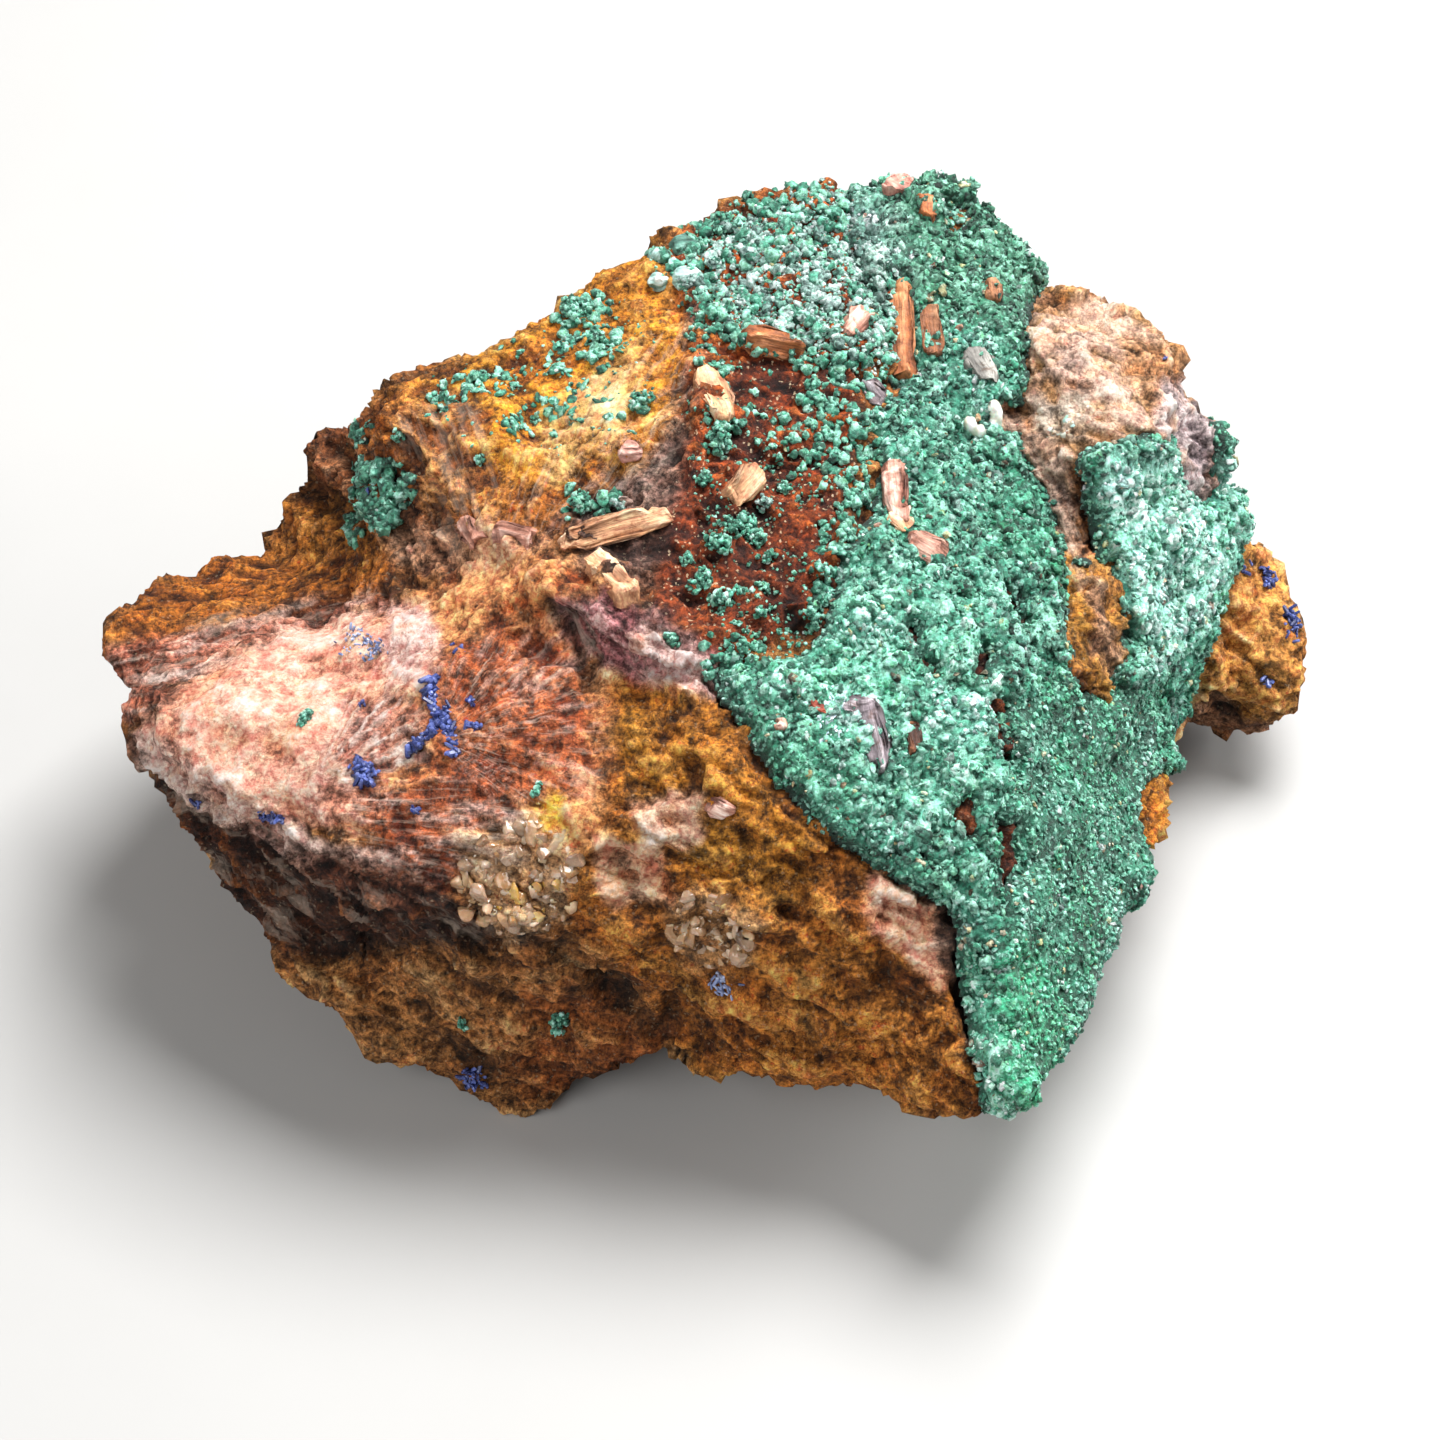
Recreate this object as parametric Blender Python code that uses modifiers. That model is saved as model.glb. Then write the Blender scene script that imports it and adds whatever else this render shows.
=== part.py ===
"""Copper ore hand specimen: an iron-stained rock with a malachite crust and azurite crystals.

The rock is one broken chunk. Its arrises, hollows and foot were sighted from one raised
viewpoint, so each landmark is (across, up, height) in millimetres: how far across and up it
is seen, and how high it stands over the table. The skin between the landmarks is a
constrained Delaunay net, one for the side that is seen and one for the back and underside.
"""

import math
import random

import bmesh
import bpy
from mathutils import Matrix, Vector, geometry, noise
from mathutils.bvhtree import BVHTree
from mathutils.kdtree import KDTree

MM = 0.001
SIGHT_RAISE = math.radians(50)
SIGHT_DISTANCE = 378.3
NET_MERGE = 0.01
SEED = 7

ROCK_VOXEL = 0.8
ROCK_SMOOTH_STEPS = 1
ROCK_TRIANGLES = 5000
SWELL_SIZE, SWELL_HEIGHT, SWELL_LEVEL = 9.0, 1.1, 0.25
CHIP_SIZE, CHIP_HEIGHT, CHIP_LEVEL = 4.2, 1.7, 0.24
GRAIN_SIZE, GRAIN_HEIGHT, GRAIN_LEVEL = 1.9, 0.8, 0.42
SEAT_HEIGHT = 0.0

CRUST_THICKNESS = 0.95
CRUST_RIM = 0.45
CRUST_LUMP = 0.35
CRUST_LUMP_SIZE = 2.6
CRUST_DRAPE = 5.0
CRUST_LOWEST = 8.0
BOND_GAP = 0.32

RIB_SIDES, RIB_TAPER = 7, 0.7
NODULE_SINK = 0.35
BLADE_SIDES, BLADE_FOOT, BLADE_TOP = 5, 0.6, 0.46
BLADE_DEPTH, BLADE_LIFT = 1.8, 0.25

CRYSTAL_SIDES, CRYSTAL_FLATNESS = 6, 0.6
PLATE_SHARE, PLATE_TAPER, PLATE_HEIGHT = 0.8, 0.7, 2.0
PRISM_FOOT, PRISM_TIP = 0.46, 0.22
PRISM_LIFT, PRISM_LEAN, PRISM_SPREAD = 0.25, 0.7, 0.2

# The whole silhouette, clockwise from the far left tip.
SILHOUETTE = [
    (-49.0, 5.5, 21.5), (-44.5, 10.0, 18.5), (-40.5, 12.0, 15.5), (-34.5, 12.9, 13.5),
    (-34.0, 17.2, 16.5), (-33.6, 21.0, 20.0), (-32.5, 22.8, 22.0), (-29.5, 23.4, 23.0),
    (-27.6, 22.4, 24.0), (-27.2, 24.2, 31.5), (-25.0, 25.9, 33.0), (-20.0, 27.7, 33.5),
    (-15.6, 29.2, 34.0), (-12.5, 32.3, 34.0), (-7.8, 34.7, 34.5), (-5.0, 37.4, 35.0),
    (-0.4, 39.3, 35.0), (5.5, 41.1, 35.5), (10.9, 41.5, 35.5), (14.4, 42.8, 36.0),
    (18.0, 43.1, 36.0), (19.7, 42.0, 35.5), (20.6, 38.8, 33.0), (24.8, 35.6, 31.0),
    (28.8, 32.0, 29.5), (33.5, 29.9, 30.0), (34.7, 28.6, 29.5), (37.6, 25.2, 26.5),
    (40.0, 21.8, 23.5), (40.4, 17.2, 19.5), (40.2, 14.6, 17.0), (42.2, 12.5, 12.5),
    (44.6, 10.4, 12.0), (45.0, 7.0, 11.0), (46.1, 4.6, 10.0), (45.6, 2.3, 8.5),
    (44.1, -0.4, 5.0), (42.5, -1.3, 3.0), (39.8, -1.2, 2.0), (37.5, -0.4, 2.5),
    (36.3, 0.6, 6.5), (35.3, -2.0, 9.5), (36.2, -4.4, 9.8), (36.1, -6.4, 10.0),
    (35.8, -8.6, 10.3), (33.9, -10.6, 11.2), (33.1, -12.6, 12.0), (32.1, -15.6, 12.7),
    (30.1, -20.1, 13.0), (28.2, -23.6, 13.3), (26.4, -26.6, 14.2), (24.0, -30.0, 15.3),
    (22.4, -30.4, 15.0), (20.4, -30.5, 14.2), (18.5, -29.7, 12.8), (14.0, -29.2, 11.2),
    (7.8, -28.3, 10.0), (3.1, -27.6, 9.0), (-0.8, -27.2, 8.4), (-3.2, -25.7, 8.0),
    (-4.2, -24.5, 8.0), (-6.0, -24.9, 7.8), (-8.2, -26.7, 5.5), (-11.0, -27.8, 3.5),
    (-13.6, -29.2, 1.5), (-15.6, -29.8, 0.4), (-18.2, -29.9, 0.2), (-20.0, -28.9, 1.0),
    (-21.0, -26.6, 3.8), (-25.0, -26.8, 4.2), (-27.8, -24.9, 6.0), (-30.3, -22.5, 7.2),
    (-31.4, -19.8, 8.4), (-35.0, -17.0, 9.4), (-36.3, -14.4, 10.4), (-37.0, -12.6, 12.2),
    (-38.8, -10.8, 13.6), (-40.6, -8.2, 15.6), (-42.2, -5.8, 17.2), (-44.2, -3.0, 19.0),
    (-45.8, -1.2, 20.4), (-46.0, 0.7, 21.0), (-46.8, 2.2, 19.5), (-48.0, 4.0, 20.5),
]

# Arrises, creases and lone points of the side that is seen.
SEEN_LINES = {
    "crust_arris": [
        (-2.4, 5.4, 33.2), (0.0, 2.3, 32.6), (2.0, -1.6, 31.4), (3.6, -5.5, 30.0),
        (8.5, -9.4, 28.0), (12.6, -12.0, 26.0), (17.4, -14.4, 23.2), (18.9, -18.9, 20.8),
        (19.7, -22.6, 18.6), (19.9, -26.6, 16.6),
    ],
    "green_ridge": [
        (21.8, 6.2, 31.0), (22.0, -2.4, 29.4), (22.3, -10.0, 26.4), (22.3, -17.9, 22.4),
        (22.0, -23.6, 19.4), (22.7, -28.0, 17.0),
    ],
    "step_top": [
        (20.6, 24.4, 32.4), (25.0, 21.6, 31.8), (26.9, 17.4, 30.2), (27.8, 12.4, 28.4),
        (29.4, 2.4, 24.0),
    ],
    "step_foot": [
        (19.8, 23.0, 31.0), (24.0, 20.0, 29.6), (26.0, 16.0, 28.2), (26.8, 11.4, 27.0),
    ],
    "plateau_front": [
        (-13.0, 9.6, 34.0), (-8.6, 8.2, 34.0), (-4.8, 6.6, 33.8),
    ],
    "plateau_skirt": [
        (-13.6, 6.4, 30.6), (-8.0, 4.8, 30.4), (-3.2, 3.2, 30.8),
    ],
    "rib_shoulder": [
        (-25.0, 24.6, 33.0), (-19.0, 21.6, 33.6), (-14.6, 19.0, 33.4), (-12.6, 14.6, 33.2),
    ],
    "rib_foot": [
        (-27.2, 19.6, 28.0), (-26.8, 14.4, 26.0), (-21.0, 12.8, 29.0), (-16.8, 13.4, 31.2),
    ],
    "shelf_edge": [
        (-48.2, 6.0, 21.6), (-40.6, 7.2, 21.2), (-34.0, 8.2, 21.2), (-28.8, 9.4, 21.4),
    ],
    "shelf_crease": [
        (-43.8, 2.8, 21.4), (-39.2, 5.0, 20.6), (-32.8, 6.2, 21.0), (-27.6, 8.2, 22.2),
    ],
    "lobe_crown": [
        (-43.6, 1.4, 25.0), (-39.0, 4.4, 24.4), (-32.0, 5.0, 24.8), (-27.2, 6.4, 26.0),
        (-25.2, 8.8, 26.4),
    ],
    "lobe_lip": [
        (-44.0, -1.8, 24.2), (-40.8, -3.8, 24.2), (-37.0, -6.4, 24.0), (-33.4, -8.8, 23.4),
        (-28.0, -12.4, 22.4), (-22.6, -14.2, 22.0), (-16.8, -15.8, 21.4), (-9.8, -15.4, 21.4),
    ],
    "undercut": [
        (-36.0, -13.6, 12.8), (-29.0, -15.4, 13.2), (-22.0, -19.0, 13.4), (-14.6, -19.6, 15.4),
        (-7.6, -21.2, 12.4),
    ],
    "front_bulge": [
        (-5.4, -15.2, 22.0), (2.0, -17.2, 22.0), (9.6, -18.6, 20.6), (14.4, -21.6, 17.8),
    ],
}

SEEN_POINTS = [
    # plateau and green face
    (0.0, 18.0, 35.6), (-6.0, 13.6, 35.0), (7.0, 12.0, 34.6), (10.0, 30.0, 36.2),
    (3.0, 28.0, 36.0), (14.0, 20.0, 33.8), (16.0, 33.0, 35.0), (14.0, 4.0, 32.4),
    (9.4, -3.0, 31.2), (15.6, -8.0, 27.8), (-7.0, 24.0, 35.4), (-2.0, 32.0, 35.6),
    # golden slope behind the ribs
    (-19.0, 25.0, 33.4), (-12.6, 25.6, 33.8), (-9.6, 19.6, 34.6),
    # cream boss and the right side
    (27.0, 28.6, 32.0), (31.6, 26.4, 32.4), (32.6, 22.6, 31.4), (30.4, 18.6, 30.0),
    (35.6, 18.6, 25.6), (33.0, 10.8, 24.0), (37.4, 11.0, 17.4), (34.4, 4.0, 17.4),
    (30.0, -4.0, 19.0), (28.0, -12.0, 18.4), (25.6, -20.0, 17.0),
    # ochre lobe
    (41.6, 9.0, 11.6), (42.4, 4.4, 10.8), (39.8, 3.6, 9.0),
    # fibrous face
    (-20.0, 9.4, 29.4), (-15.0, 9.0, 31.8), (-13.4, 2.4, 30.4), (-20.6, 3.8, 29.6),
    (-10.0, -2.0, 29.2), (-19.0, -3.6, 28.6), (-25.0, 0.6, 28.0), (-30.4, -1.6, 26.8),
    (-36.0, 0.6, 26.2), (-25.4, -7.6, 26.0), (-16.0, -8.4, 26.6), (-10.0, -8.6, 26.8),
    # golden front face
    (-4.6, -2.8, 29.8), (-1.2, -9.6, 26.8), (5.0, -13.0, 24.6), (-3.0, -21.6, 13.2),
    (5.0, -24.0, 14.2), (12.0, -26.2, 13.6),
    # back bump and the foot
    (-31.0, 19.0, 19.6), (-29.0, 15.0, 19.4), (-31.4, 12.0, 17.6), (-28.4, 20.6, 20.2),
    (-30.0, -18.6, 10.4), (-24.8, -21.6, 9.0), (-18.6, -23.4, 8.6), (-12.4, -22.8, 9.8),
    (-9.6, -25.0, 7.2), (-17.4, -26.6, 4.4),
]

# Back and underside, as (x, y, z) over the point under the middle of the view.
HIDDEN_LINES = {
    "seat": [
        (-20.0, -32.0, -0.9), (-13.0, -31.0, -0.9), (2.0, -18.0, -0.9), (15.0, -9.0, -0.9),
        (19.0, 3.0, -0.9), (7.0, 11.0, -0.9), (-9.0, 9.0, -0.9), (-17.0, -2.0, -0.9),
        (-20.0, -16.0, -0.9), (-20.0, -32.0, -0.9),
    ],
    "belly": [
        (-30.0, -22.0, 6.5), (-30.0, -8.0, 4.5), (-27.0, 4.0, 4.0), (-17.0, 16.0, 3.6),
        (-2.0, 21.0, 2.8), (14.0, 20.0, 3.4), (29.0, 11.0, 3.6), (35.0, -2.0, 3.2),
        (27.0, -17.0, 5.0), (14.0, -26.0, 4.4), (-2.0, -31.0, 3.6),
    ],
    "back_belt": [
        (-31.0, 8.0, 10.0), (-22.0, 17.0, 11.0), (-6.0, 25.0, 9.0), (9.0, 28.5, 12.0),
        (23.0, 24.0, 9.0), (34.0, 15.0, 8.0), (40.0, 7.0, 5.0),
    ],
    "back_shoulder": [
        (-22.0, 10.5, 23.0), (-9.0, 18.5, 25.0), (4.0, 25.0, 23.0), (17.0, 25.5, 26.0),
        (28.0, 17.5, 21.0), (35.5, 11.0, 16.0),
    ],
}

HIDDEN_POINTS = [
    (-5.0, -8.0, -0.9), (9.0, 0.0, -0.9), (-36.0, -12.0, 10.5), (-33.0, 0.0, 9.5),
    (26.0, -27.0, 9.0), (10.0, -34.0, 7.5),
]

# Raised ribs, from one sighting (across, up) to another, then the radius and how deep
# the middle line of each is sunk.
RIBS = [
    ((-24.4, 24.0), (-26.2, 15.0), 1.2, -0.3), ((-21.6, 23.6), (-23.6, 13.6), 1.1, -0.4),
    ((-18.8, 22.8), (-20.6, 13.0), 1.3, -0.3), ((-16.2, 21.4), (-17.8, 12.8), 1.0, -0.4),
    ((-13.8, 19.4), (-15.0, 13.0), 1.2, -0.2),
    ((-40.8, -5.4), (-36.0, -13.4), 1.1, 0.0), ((-37.0, -7.8), (-31.8, -16.2), 1.2, 0.0),
    ((-32.2, -10.8), (-27.4, -17.8), 1.1, 0.0), ((-26.8, -13.8), (-22.0, -19.8), 1.2, 0.0),
    ((-20.6, -15.4), (-17.4, -21.6), 1.0, 0.0), ((-33.6, -17.4), (-27.4, -23.4), 1.1, 0.2),
    ((3.4, -11.2), (10.4, -20.4), 1.2, 0.2), ((-3.0, -12.8), (2.6, -21.6), 1.1, 0.2),
    ((9.8, -12.4), (15.8, -22.4), 1.1, 0.2),
]

# Malachite and feldspar nodules: (across, up), then the radius.
NODULES = [
    ((-1.9, 10.1), 1.3), ((0.8, 10.1), 1.4), ((2.9, 10.5), 1.0), ((6.9, 8.6), 1.2),
    ((-0.4, 13.3), 1.0), ((1.2, 14.4), 0.9), ((-2.3, 19.5), 1.4), ((-0.5, 22.1), 1.2),
    ((-5.1, 34.3), 1.3), ((-2.6, 34.7), 1.4), ((-11.3, 31.2), 1.6), ((-15.6, 28.4), 1.1),
    ((-18.6, 23.6), 1.1), ((-21.8, 25.1), 1.0), ((-7.0, 24.2), 1.0), ((-9.4, 23.0), 1.0),
    ((-26.0, 18.6), 1.4), ((-25.4, 16.2), 1.2), ((-28.7, 14.8), 1.0), ((-28.0, 22.2), 1.2),
    ((-10.9, 17.2), 1.0), ((-3.5, 13.7), 1.0), ((-13.4, -5.5), 0.9), ((4.3, 1.8), 1.5),
    ((7.4, 1.5), 1.3), ((12.4, 12.6), 1.1), ((9.0, 18.0), 1.2), ((7.6, 24.4), 1.1),
    ((11.6, 22.8), 1.2), ((6.2, 31.0), 1.4), ((1.8, 30.6), 1.1), ((10.6, 7.6), 1.2),
]

# Cleavage blades standing on the rock: (across, up), length, width, thickness in
# millimetres, then heading and lean in degrees.
BLADES = [
    ((-0.8, 24.6), 3.6, 2.4, 0.9, 62, 24), ((1.8, 18.8), 3.4, 2.6, 0.9, 48, 18),
    ((-8.6, 14.8), 8.0, 2.2, 0.9, 12, 8), ((-8.6, 10.8), 3.6, 2.6, 1.0, 35, 14),
    ((4.0, 29.0), 4.4, 1.9, 0.9, -8, 14), ((-7.2, 21.2), 2.6, 1.9, 1.0, 20, 18),
    ((-4.6, 5.6), 6.4, 1.5, 0.9, -14, 6),
]

# Where the crust lies, and the bare patches inside it, as sightings.
CRUST_ZONE = [
    (9.4, 43.5), (20.5, 44.5), (28.0, 35.0), (36.0, 31.0), (44.0, 18.0), (41.0, 13.6),
    (39.0, 7.8), (37.0, 1.6), (38.0, -8.0), (34.0, -20.0), (26.0, -30.0), (23.4, -32.0),
    (20.8, -30.6), (20.4, -28.0), (19.4, -22.0), (18.2, -14.2), (13.8, -12.6),
    (8.4, -8.8), (3.0, -2.6), (-0.4, 3.8), (3.1, 6.2), (6.2, 9.4), (10.2, 12.4),
    (12.4, 17.2), (11.6, 22.6), (14.0, 26.6), (12.4, 32.6), (9.4, 37.4),
]
BARE_PATCHES = [
    [
        (24.2, 32.8), (29.5, 36.4), (38.4, 30.6), (36.4, 25.4), (34.6, 21.8), (29.4, 18.6),
        (26.4, 19.6), (24.2, 26.6),
    ],
    [(27.2, 12.2), (30.6, 12.2), (31.4, 7.4), (30.0, 1.4), (28.0, 1.8), (27.0, 7.4)],
]

# Azurite clusters: (across, up), spread along and across, crystal count, crystal length,
# heading in degrees.
CLUSTERS = {
    "azurite_spray": [
        ((-21.6, 2.0), 2.4, 1.2, 6, 3.0, 66), ((-20.6, -1.4), 1.8, 1.4, 6, 3.0, 100),
        ((-22.8, -2.4), 1.6, 0.9, 4, 2.6, 125),
    ],
    "azurite_knob": [((-27.6, -4.4), 1.1, 1.0, 5, 2.5, 20)],
    "azurite_patch": [((-28.1, 5.4), 1.8, 1.2, 6, 2.4, 55)],
    "azurite_ridge": [((-34.8, -7.3), 1.1, 0.9, 5, 2.3, 10)],
    "azurite_foot": [((-18.8, -26.6), 1.5, 1.0, 5, 2.4, 0)],
    "azurite_lobe_high": [((42.3, 10.0), 0.9, 0.8, 4, 2.0, 40)],
    "azurite_lobe_low": [((43.4, 5.8), 0.9, 0.9, 4, 2.0, 80)],
}

FINISHES = {
    "matrix_rock": ((0.46, 0.24, 0.085, 1.0), 0.82),
    "malachite_crust": ((0.055, 0.40, 0.245, 1.0), 0.62),
    "azurite": ((0.03, 0.06, 0.42, 1.0), 0.28),
}


def sighted(across, up, height):
    """The point, in millimetres, seen that far across and up and standing that high.

    The line of sight tips down by SIGHT_RAISE. A point nearer the eye looks larger, so its
    sighting shrinks by its lead over the sight distance.
    """
    rise, run = math.sin(SIGHT_RAISE), math.cos(SIGHT_RAISE)
    lead = (height - run * up) / (rise - run * up / SIGHT_DISTANCE)
    shrink = 1 - lead / SIGHT_DISTANCE
    true_up = up * shrink
    return Vector((across * shrink, rise * true_up - run * lead, height))


def seen_at(point):
    """Where a point in millimetres is seen: (across, up)."""
    rise, run = math.sin(SIGHT_RAISE), math.cos(SIGHT_RAISE)
    lead = rise * point.z - run * point.y
    shrink = 1 - lead / SIGHT_DISTANCE
    return Vector((point.x / shrink, (rise * point.y + run * point.z) / shrink))


def eye():
    """The viewpoint, in millimetres."""
    rise, run = math.sin(SIGHT_RAISE), math.cos(SIGHT_RAISE)
    return Vector((0, -run * SIGHT_DISTANCE, rise * SIGHT_DISTANCE))


def landed(tree, across, up):
    """The first surface point seen at (across, up), in millimetres, and its normal."""
    rise, run = math.sin(SIGHT_RAISE), math.cos(SIGHT_RAISE)
    aim = Vector((across, rise * up, run * up)) - eye()
    spot, normal, _, _ = tree.ray_cast(eye() * MM, aim.normalized())
    return spot / MM, normal


def net(outline, lines, points):
    """A triangle net over the sight plane that keeps every line as an edge."""
    spots, edges = list(outline), []
    for line in lines:
        start = len(spots)
        closed = (line[0] - line[-1]).length < NET_MERGE
        fresh = line[:-1] if closed else line
        spots += fresh
        edges += [(start + i, start + i + 1) for i in range(len(fresh) - 1)]
        if closed:
            edges.append((start + len(fresh) - 1, start))
    spots += points
    loop = [list(range(len(outline)))]
    flat = [seen_at(spot) for spot in spots]
    inside_only = 1
    _, _, faces, origins, _, _ = geometry.delaunay_2d_cdt(
        flat, edges, loop, inside_only, NET_MERGE
    )
    return spots, [[origins[corner][0] for corner in face] for face in faces]


def closed_chunk(name):
    """The seen net and the hidden net sewn together along the silhouette."""
    outline = [sighted(*spot) for spot in SILHOUETTE]
    seen_lines = [[sighted(*spot) for spot in line] for line in SEEN_LINES.values()]
    seen_points = [sighted(*spot) for spot in SEEN_POINTS]
    hidden_lines = [[Vector(spot) for spot in line] for line in HIDDEN_LINES.values()]
    hidden_points = [Vector(spot) for spot in HIDDEN_POINTS]
    front, front_faces = net(outline, seen_lines, seen_points)
    back, back_faces = net(outline, hidden_lines, hidden_points)
    rim = len(outline)

    def behind(corner):
        return corner if corner < rim else len(front) + corner - rim

    faces = front_faces + [[behind(c) for c in reversed(face)] for face in back_faces]
    mesh = bpy.data.meshes.new(name)
    mesh.from_pydata([spot * MM for spot in front + back[rim:]], [], faces)
    shell = bmesh.new()
    shell.from_mesh(mesh)
    bmesh.ops.recalc_face_normals(shell, faces=shell.faces)
    shell.to_mesh(mesh)
    shell.free()
    return mesh


def tree_of(mesh):
    """A search tree over a mesh's faces."""
    shell = bmesh.new()
    shell.from_mesh(mesh)
    tree = BVHTree.FromBMesh(shell)
    shell.free()
    return tree


def turned_to(direction, spin=0.0):
    """A rotation that stands +Z along a direction, after a spin about +Z."""
    return direction.to_track_quat("Z", "Y").to_matrix().to_4x4() @ Matrix.Rotation(
        spin, 4, "Z"
    )


def add_growths(mesh):
    """Ribs and nodules set into the chunk as overlapping closed shapes."""
    tree = tree_of(mesh)
    shell = bmesh.new()
    shell.from_mesh(mesh)
    for start, end, radius, sunk in RIBS:
        foot, foot_normal = landed(tree, *start)
        head, head_normal = landed(tree, *end)
        foot -= foot_normal * sunk
        head -= head_normal * sunk
        along = head - foot
        place = Matrix.Translation((foot + head) / 2 * MM) @ turned_to(along.normalized())
        bmesh.ops.create_cone(
            shell, cap_ends=True, segments=RIB_SIDES, radius1=radius * MM,
            radius2=radius * RIB_TAPER * MM, depth=along.length * MM, matrix=place,
        )
    for spot, radius in NODULES:
        seat, normal = landed(tree, *spot)
        centre = (seat - normal * radius * NODULE_SINK) * MM
        bmesh.ops.create_icosphere(
            shell, subdivisions=2, radius=radius * MM,
            matrix=Matrix.Translation(centre),
        )
    shell.to_mesh(mesh)
    shell.free()


def add_remesh(rock):
    """An even skin over whatever shapes overlap in the rock."""
    skin = rock.modifiers.new("even_skin", "REMESH")
    skin.mode = "VOXEL"
    skin.voxel_size = ROCK_VOXEL * MM
    return skin


def add_displace(rock, name, kind, size, height, level):
    """One roughening pass: a procedural pattern pushed along the normals."""
    pattern = bpy.data.textures.new(name, kind)
    pattern.noise_scale = size * MM
    step = rock.modifiers.new(name, "DISPLACE")
    step.texture = pattern
    step.texture_coords = "LOCAL"
    step.strength = height * MM
    step.mid_level = level
    return pattern


def baked(rock):
    """The mesh that the object's modifiers make, with the modifiers taken off."""
    depsgraph = bpy.context.evaluated_depsgraph_get()
    mesh = bpy.data.meshes.new_from_object(rock.evaluated_get(depsgraph))
    rock.modifiers.clear()
    rock.data = mesh
    return mesh


def inside(zone, spot):
    """Whether a sighting lies inside a closed outline."""
    hit = False
    for (ax, ay), (bx, by) in zip(zone, zone[1:] + zone[:1]):
        if (ay > spot.y) != (by > spot.y):
            hit ^= spot.x < ax + (spot.y - ay) / (by - ay) * (bx - ax)
    return hit


def crusted(point):
    """Whether a point in millimetres lies where the crust has grown."""
    spot = seen_at(point)
    bare = any(inside(patch, spot) for patch in BARE_PATCHES)
    return inside(CRUST_ZONE, spot) and not bare


def faces_eye(point, normal):
    """Whether a surface point is turned to the viewpoint."""
    return normal.dot(eye() - point) > 0


def crust_faces(shell):
    """The faces under the crust: those seen in its zone, and those it drapes over to."""
    front, behind = [], []
    for face in shell.faces:
        middle = face.calc_center_median() / MM
        if middle.z > CRUST_LOWEST and crusted(middle):
            (front if faces_eye(middle, face.normal) else behind).append(face)
    size = max(len(front), 1)
    near = KDTree(size)
    for index, face in enumerate(front):
        near.insert(face.calc_center_median() / MM, index)
    near.balance()
    reach = [near.find(face.calc_center_median() / MM)[2] for face in behind]
    return front + [face for face, gap in zip(behind, reach) if gap < CRUST_DRAPE]


def sink_under_crust(mesh):
    """Lower the rock where the crust grows, so the crust's own surface is the sighted one."""
    shell = bmesh.new()
    shell.from_mesh(mesh)
    sunk = {vert for face in crust_faces(shell) for vert in face.verts}
    for vert in sunk:
        vert.co -= vert.normal * (BOND_GAP + CRUST_THICKNESS) * MM
    shell.to_mesh(mesh)
    shell.free()


def level_seat(mesh):
    """Cut the rock flat at its seat and close the cut."""
    shell = bmesh.new()
    shell.from_mesh(mesh)
    everything = shell.verts[:] + shell.edges[:] + shell.faces[:]
    cut = bmesh.ops.bisect_plane(
        shell, geom=everything, plane_co=(0, 0, SEAT_HEIGHT * MM), plane_no=(0, 0, -1),
        clear_outer=True, dist=1e-7,
    )
    rim = [part for part in cut["geom_cut"] if isinstance(part, bmesh.types.BMEdge)]
    bmesh.ops.holes_fill(shell, edges=rim, sides=0)
    bmesh.ops.triangulate(shell, faces=[face for face in shell.faces if len(face.verts) > 4])
    shell.to_mesh(mesh)
    shell.free()


def add_blades(rock, cutters):
    """Fuse the cleavage blades to the rock: five-sided shards standing on its surface."""
    tree = tree_of(rock.data)
    shell = bmesh.new()
    for spot, length, width, thick, heading, lean in BLADES:
        seat, normal = landed(tree, *spot)
        outward = (eye() - seat).normalized().lerp(normal, 0.5).normalized()
        place = (
            Matrix.Translation((seat + outward * thick * BLADE_LIFT) * MM)
            @ turned_to(outward)
            @ Matrix.Rotation(math.radians(heading), 4, "Z")
            @ Matrix.Rotation(math.radians(lean), 4, "Y")
            @ Matrix.Diagonal((length * MM, width * MM, thick * BLADE_DEPTH * MM, 1))
        )
        bmesh.ops.create_cone(
            shell, cap_ends=True, segments=BLADE_SIDES, radius1=BLADE_FOOT,
            radius2=BLADE_TOP, depth=1, matrix=place,
        )
    mesh = bpy.data.meshes.new("blades")
    shell.to_mesh(mesh)
    shell.free()
    blades = bpy.data.objects.new("blades", mesh)
    cutters.objects.link(blades)
    add_boolean(rock, blades, "UNION")
    bpy.context.view_layer.update()
    baked(rock)


def make_rock(parts, cutters):
    """The whole host rock: chunk, growths, roughening, sunk crust bed, seat and blades."""
    mesh = closed_chunk("matrix_rock")
    add_growths(mesh)
    rock = bpy.data.objects.new("matrix_rock", mesh)
    parts.objects.link(rock)
    add_remesh(rock)
    soften = rock.modifiers.new("soften", "SMOOTH")
    soften.iterations = ROCK_SMOOTH_STEPS
    add_displace(rock, "swell", "CLOUDS", SWELL_SIZE, SWELL_HEIGHT, SWELL_LEVEL)
    add_displace(rock, "chips", "VORONOI", CHIP_SIZE, CHIP_HEIGHT, CHIP_LEVEL)
    add_displace(rock, "grain", "CLOUDS", GRAIN_SIZE, GRAIN_HEIGHT, GRAIN_LEVEL)
    baked(rock)
    sink_under_crust(rock.data)
    add_remesh(rock)
    baked(rock)
    keep_largest_body(rock.data)
    thin = rock.modifiers.new("thin", "DECIMATE")
    rock.data.calc_loop_triangles()
    thin.ratio = ROCK_TRIANGLES / len(rock.data.loop_triangles)
    baked(rock)
    level_seat(rock.data)
    keep_largest_body(rock.data)
    add_blades(rock, cutters)
    return rock


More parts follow.
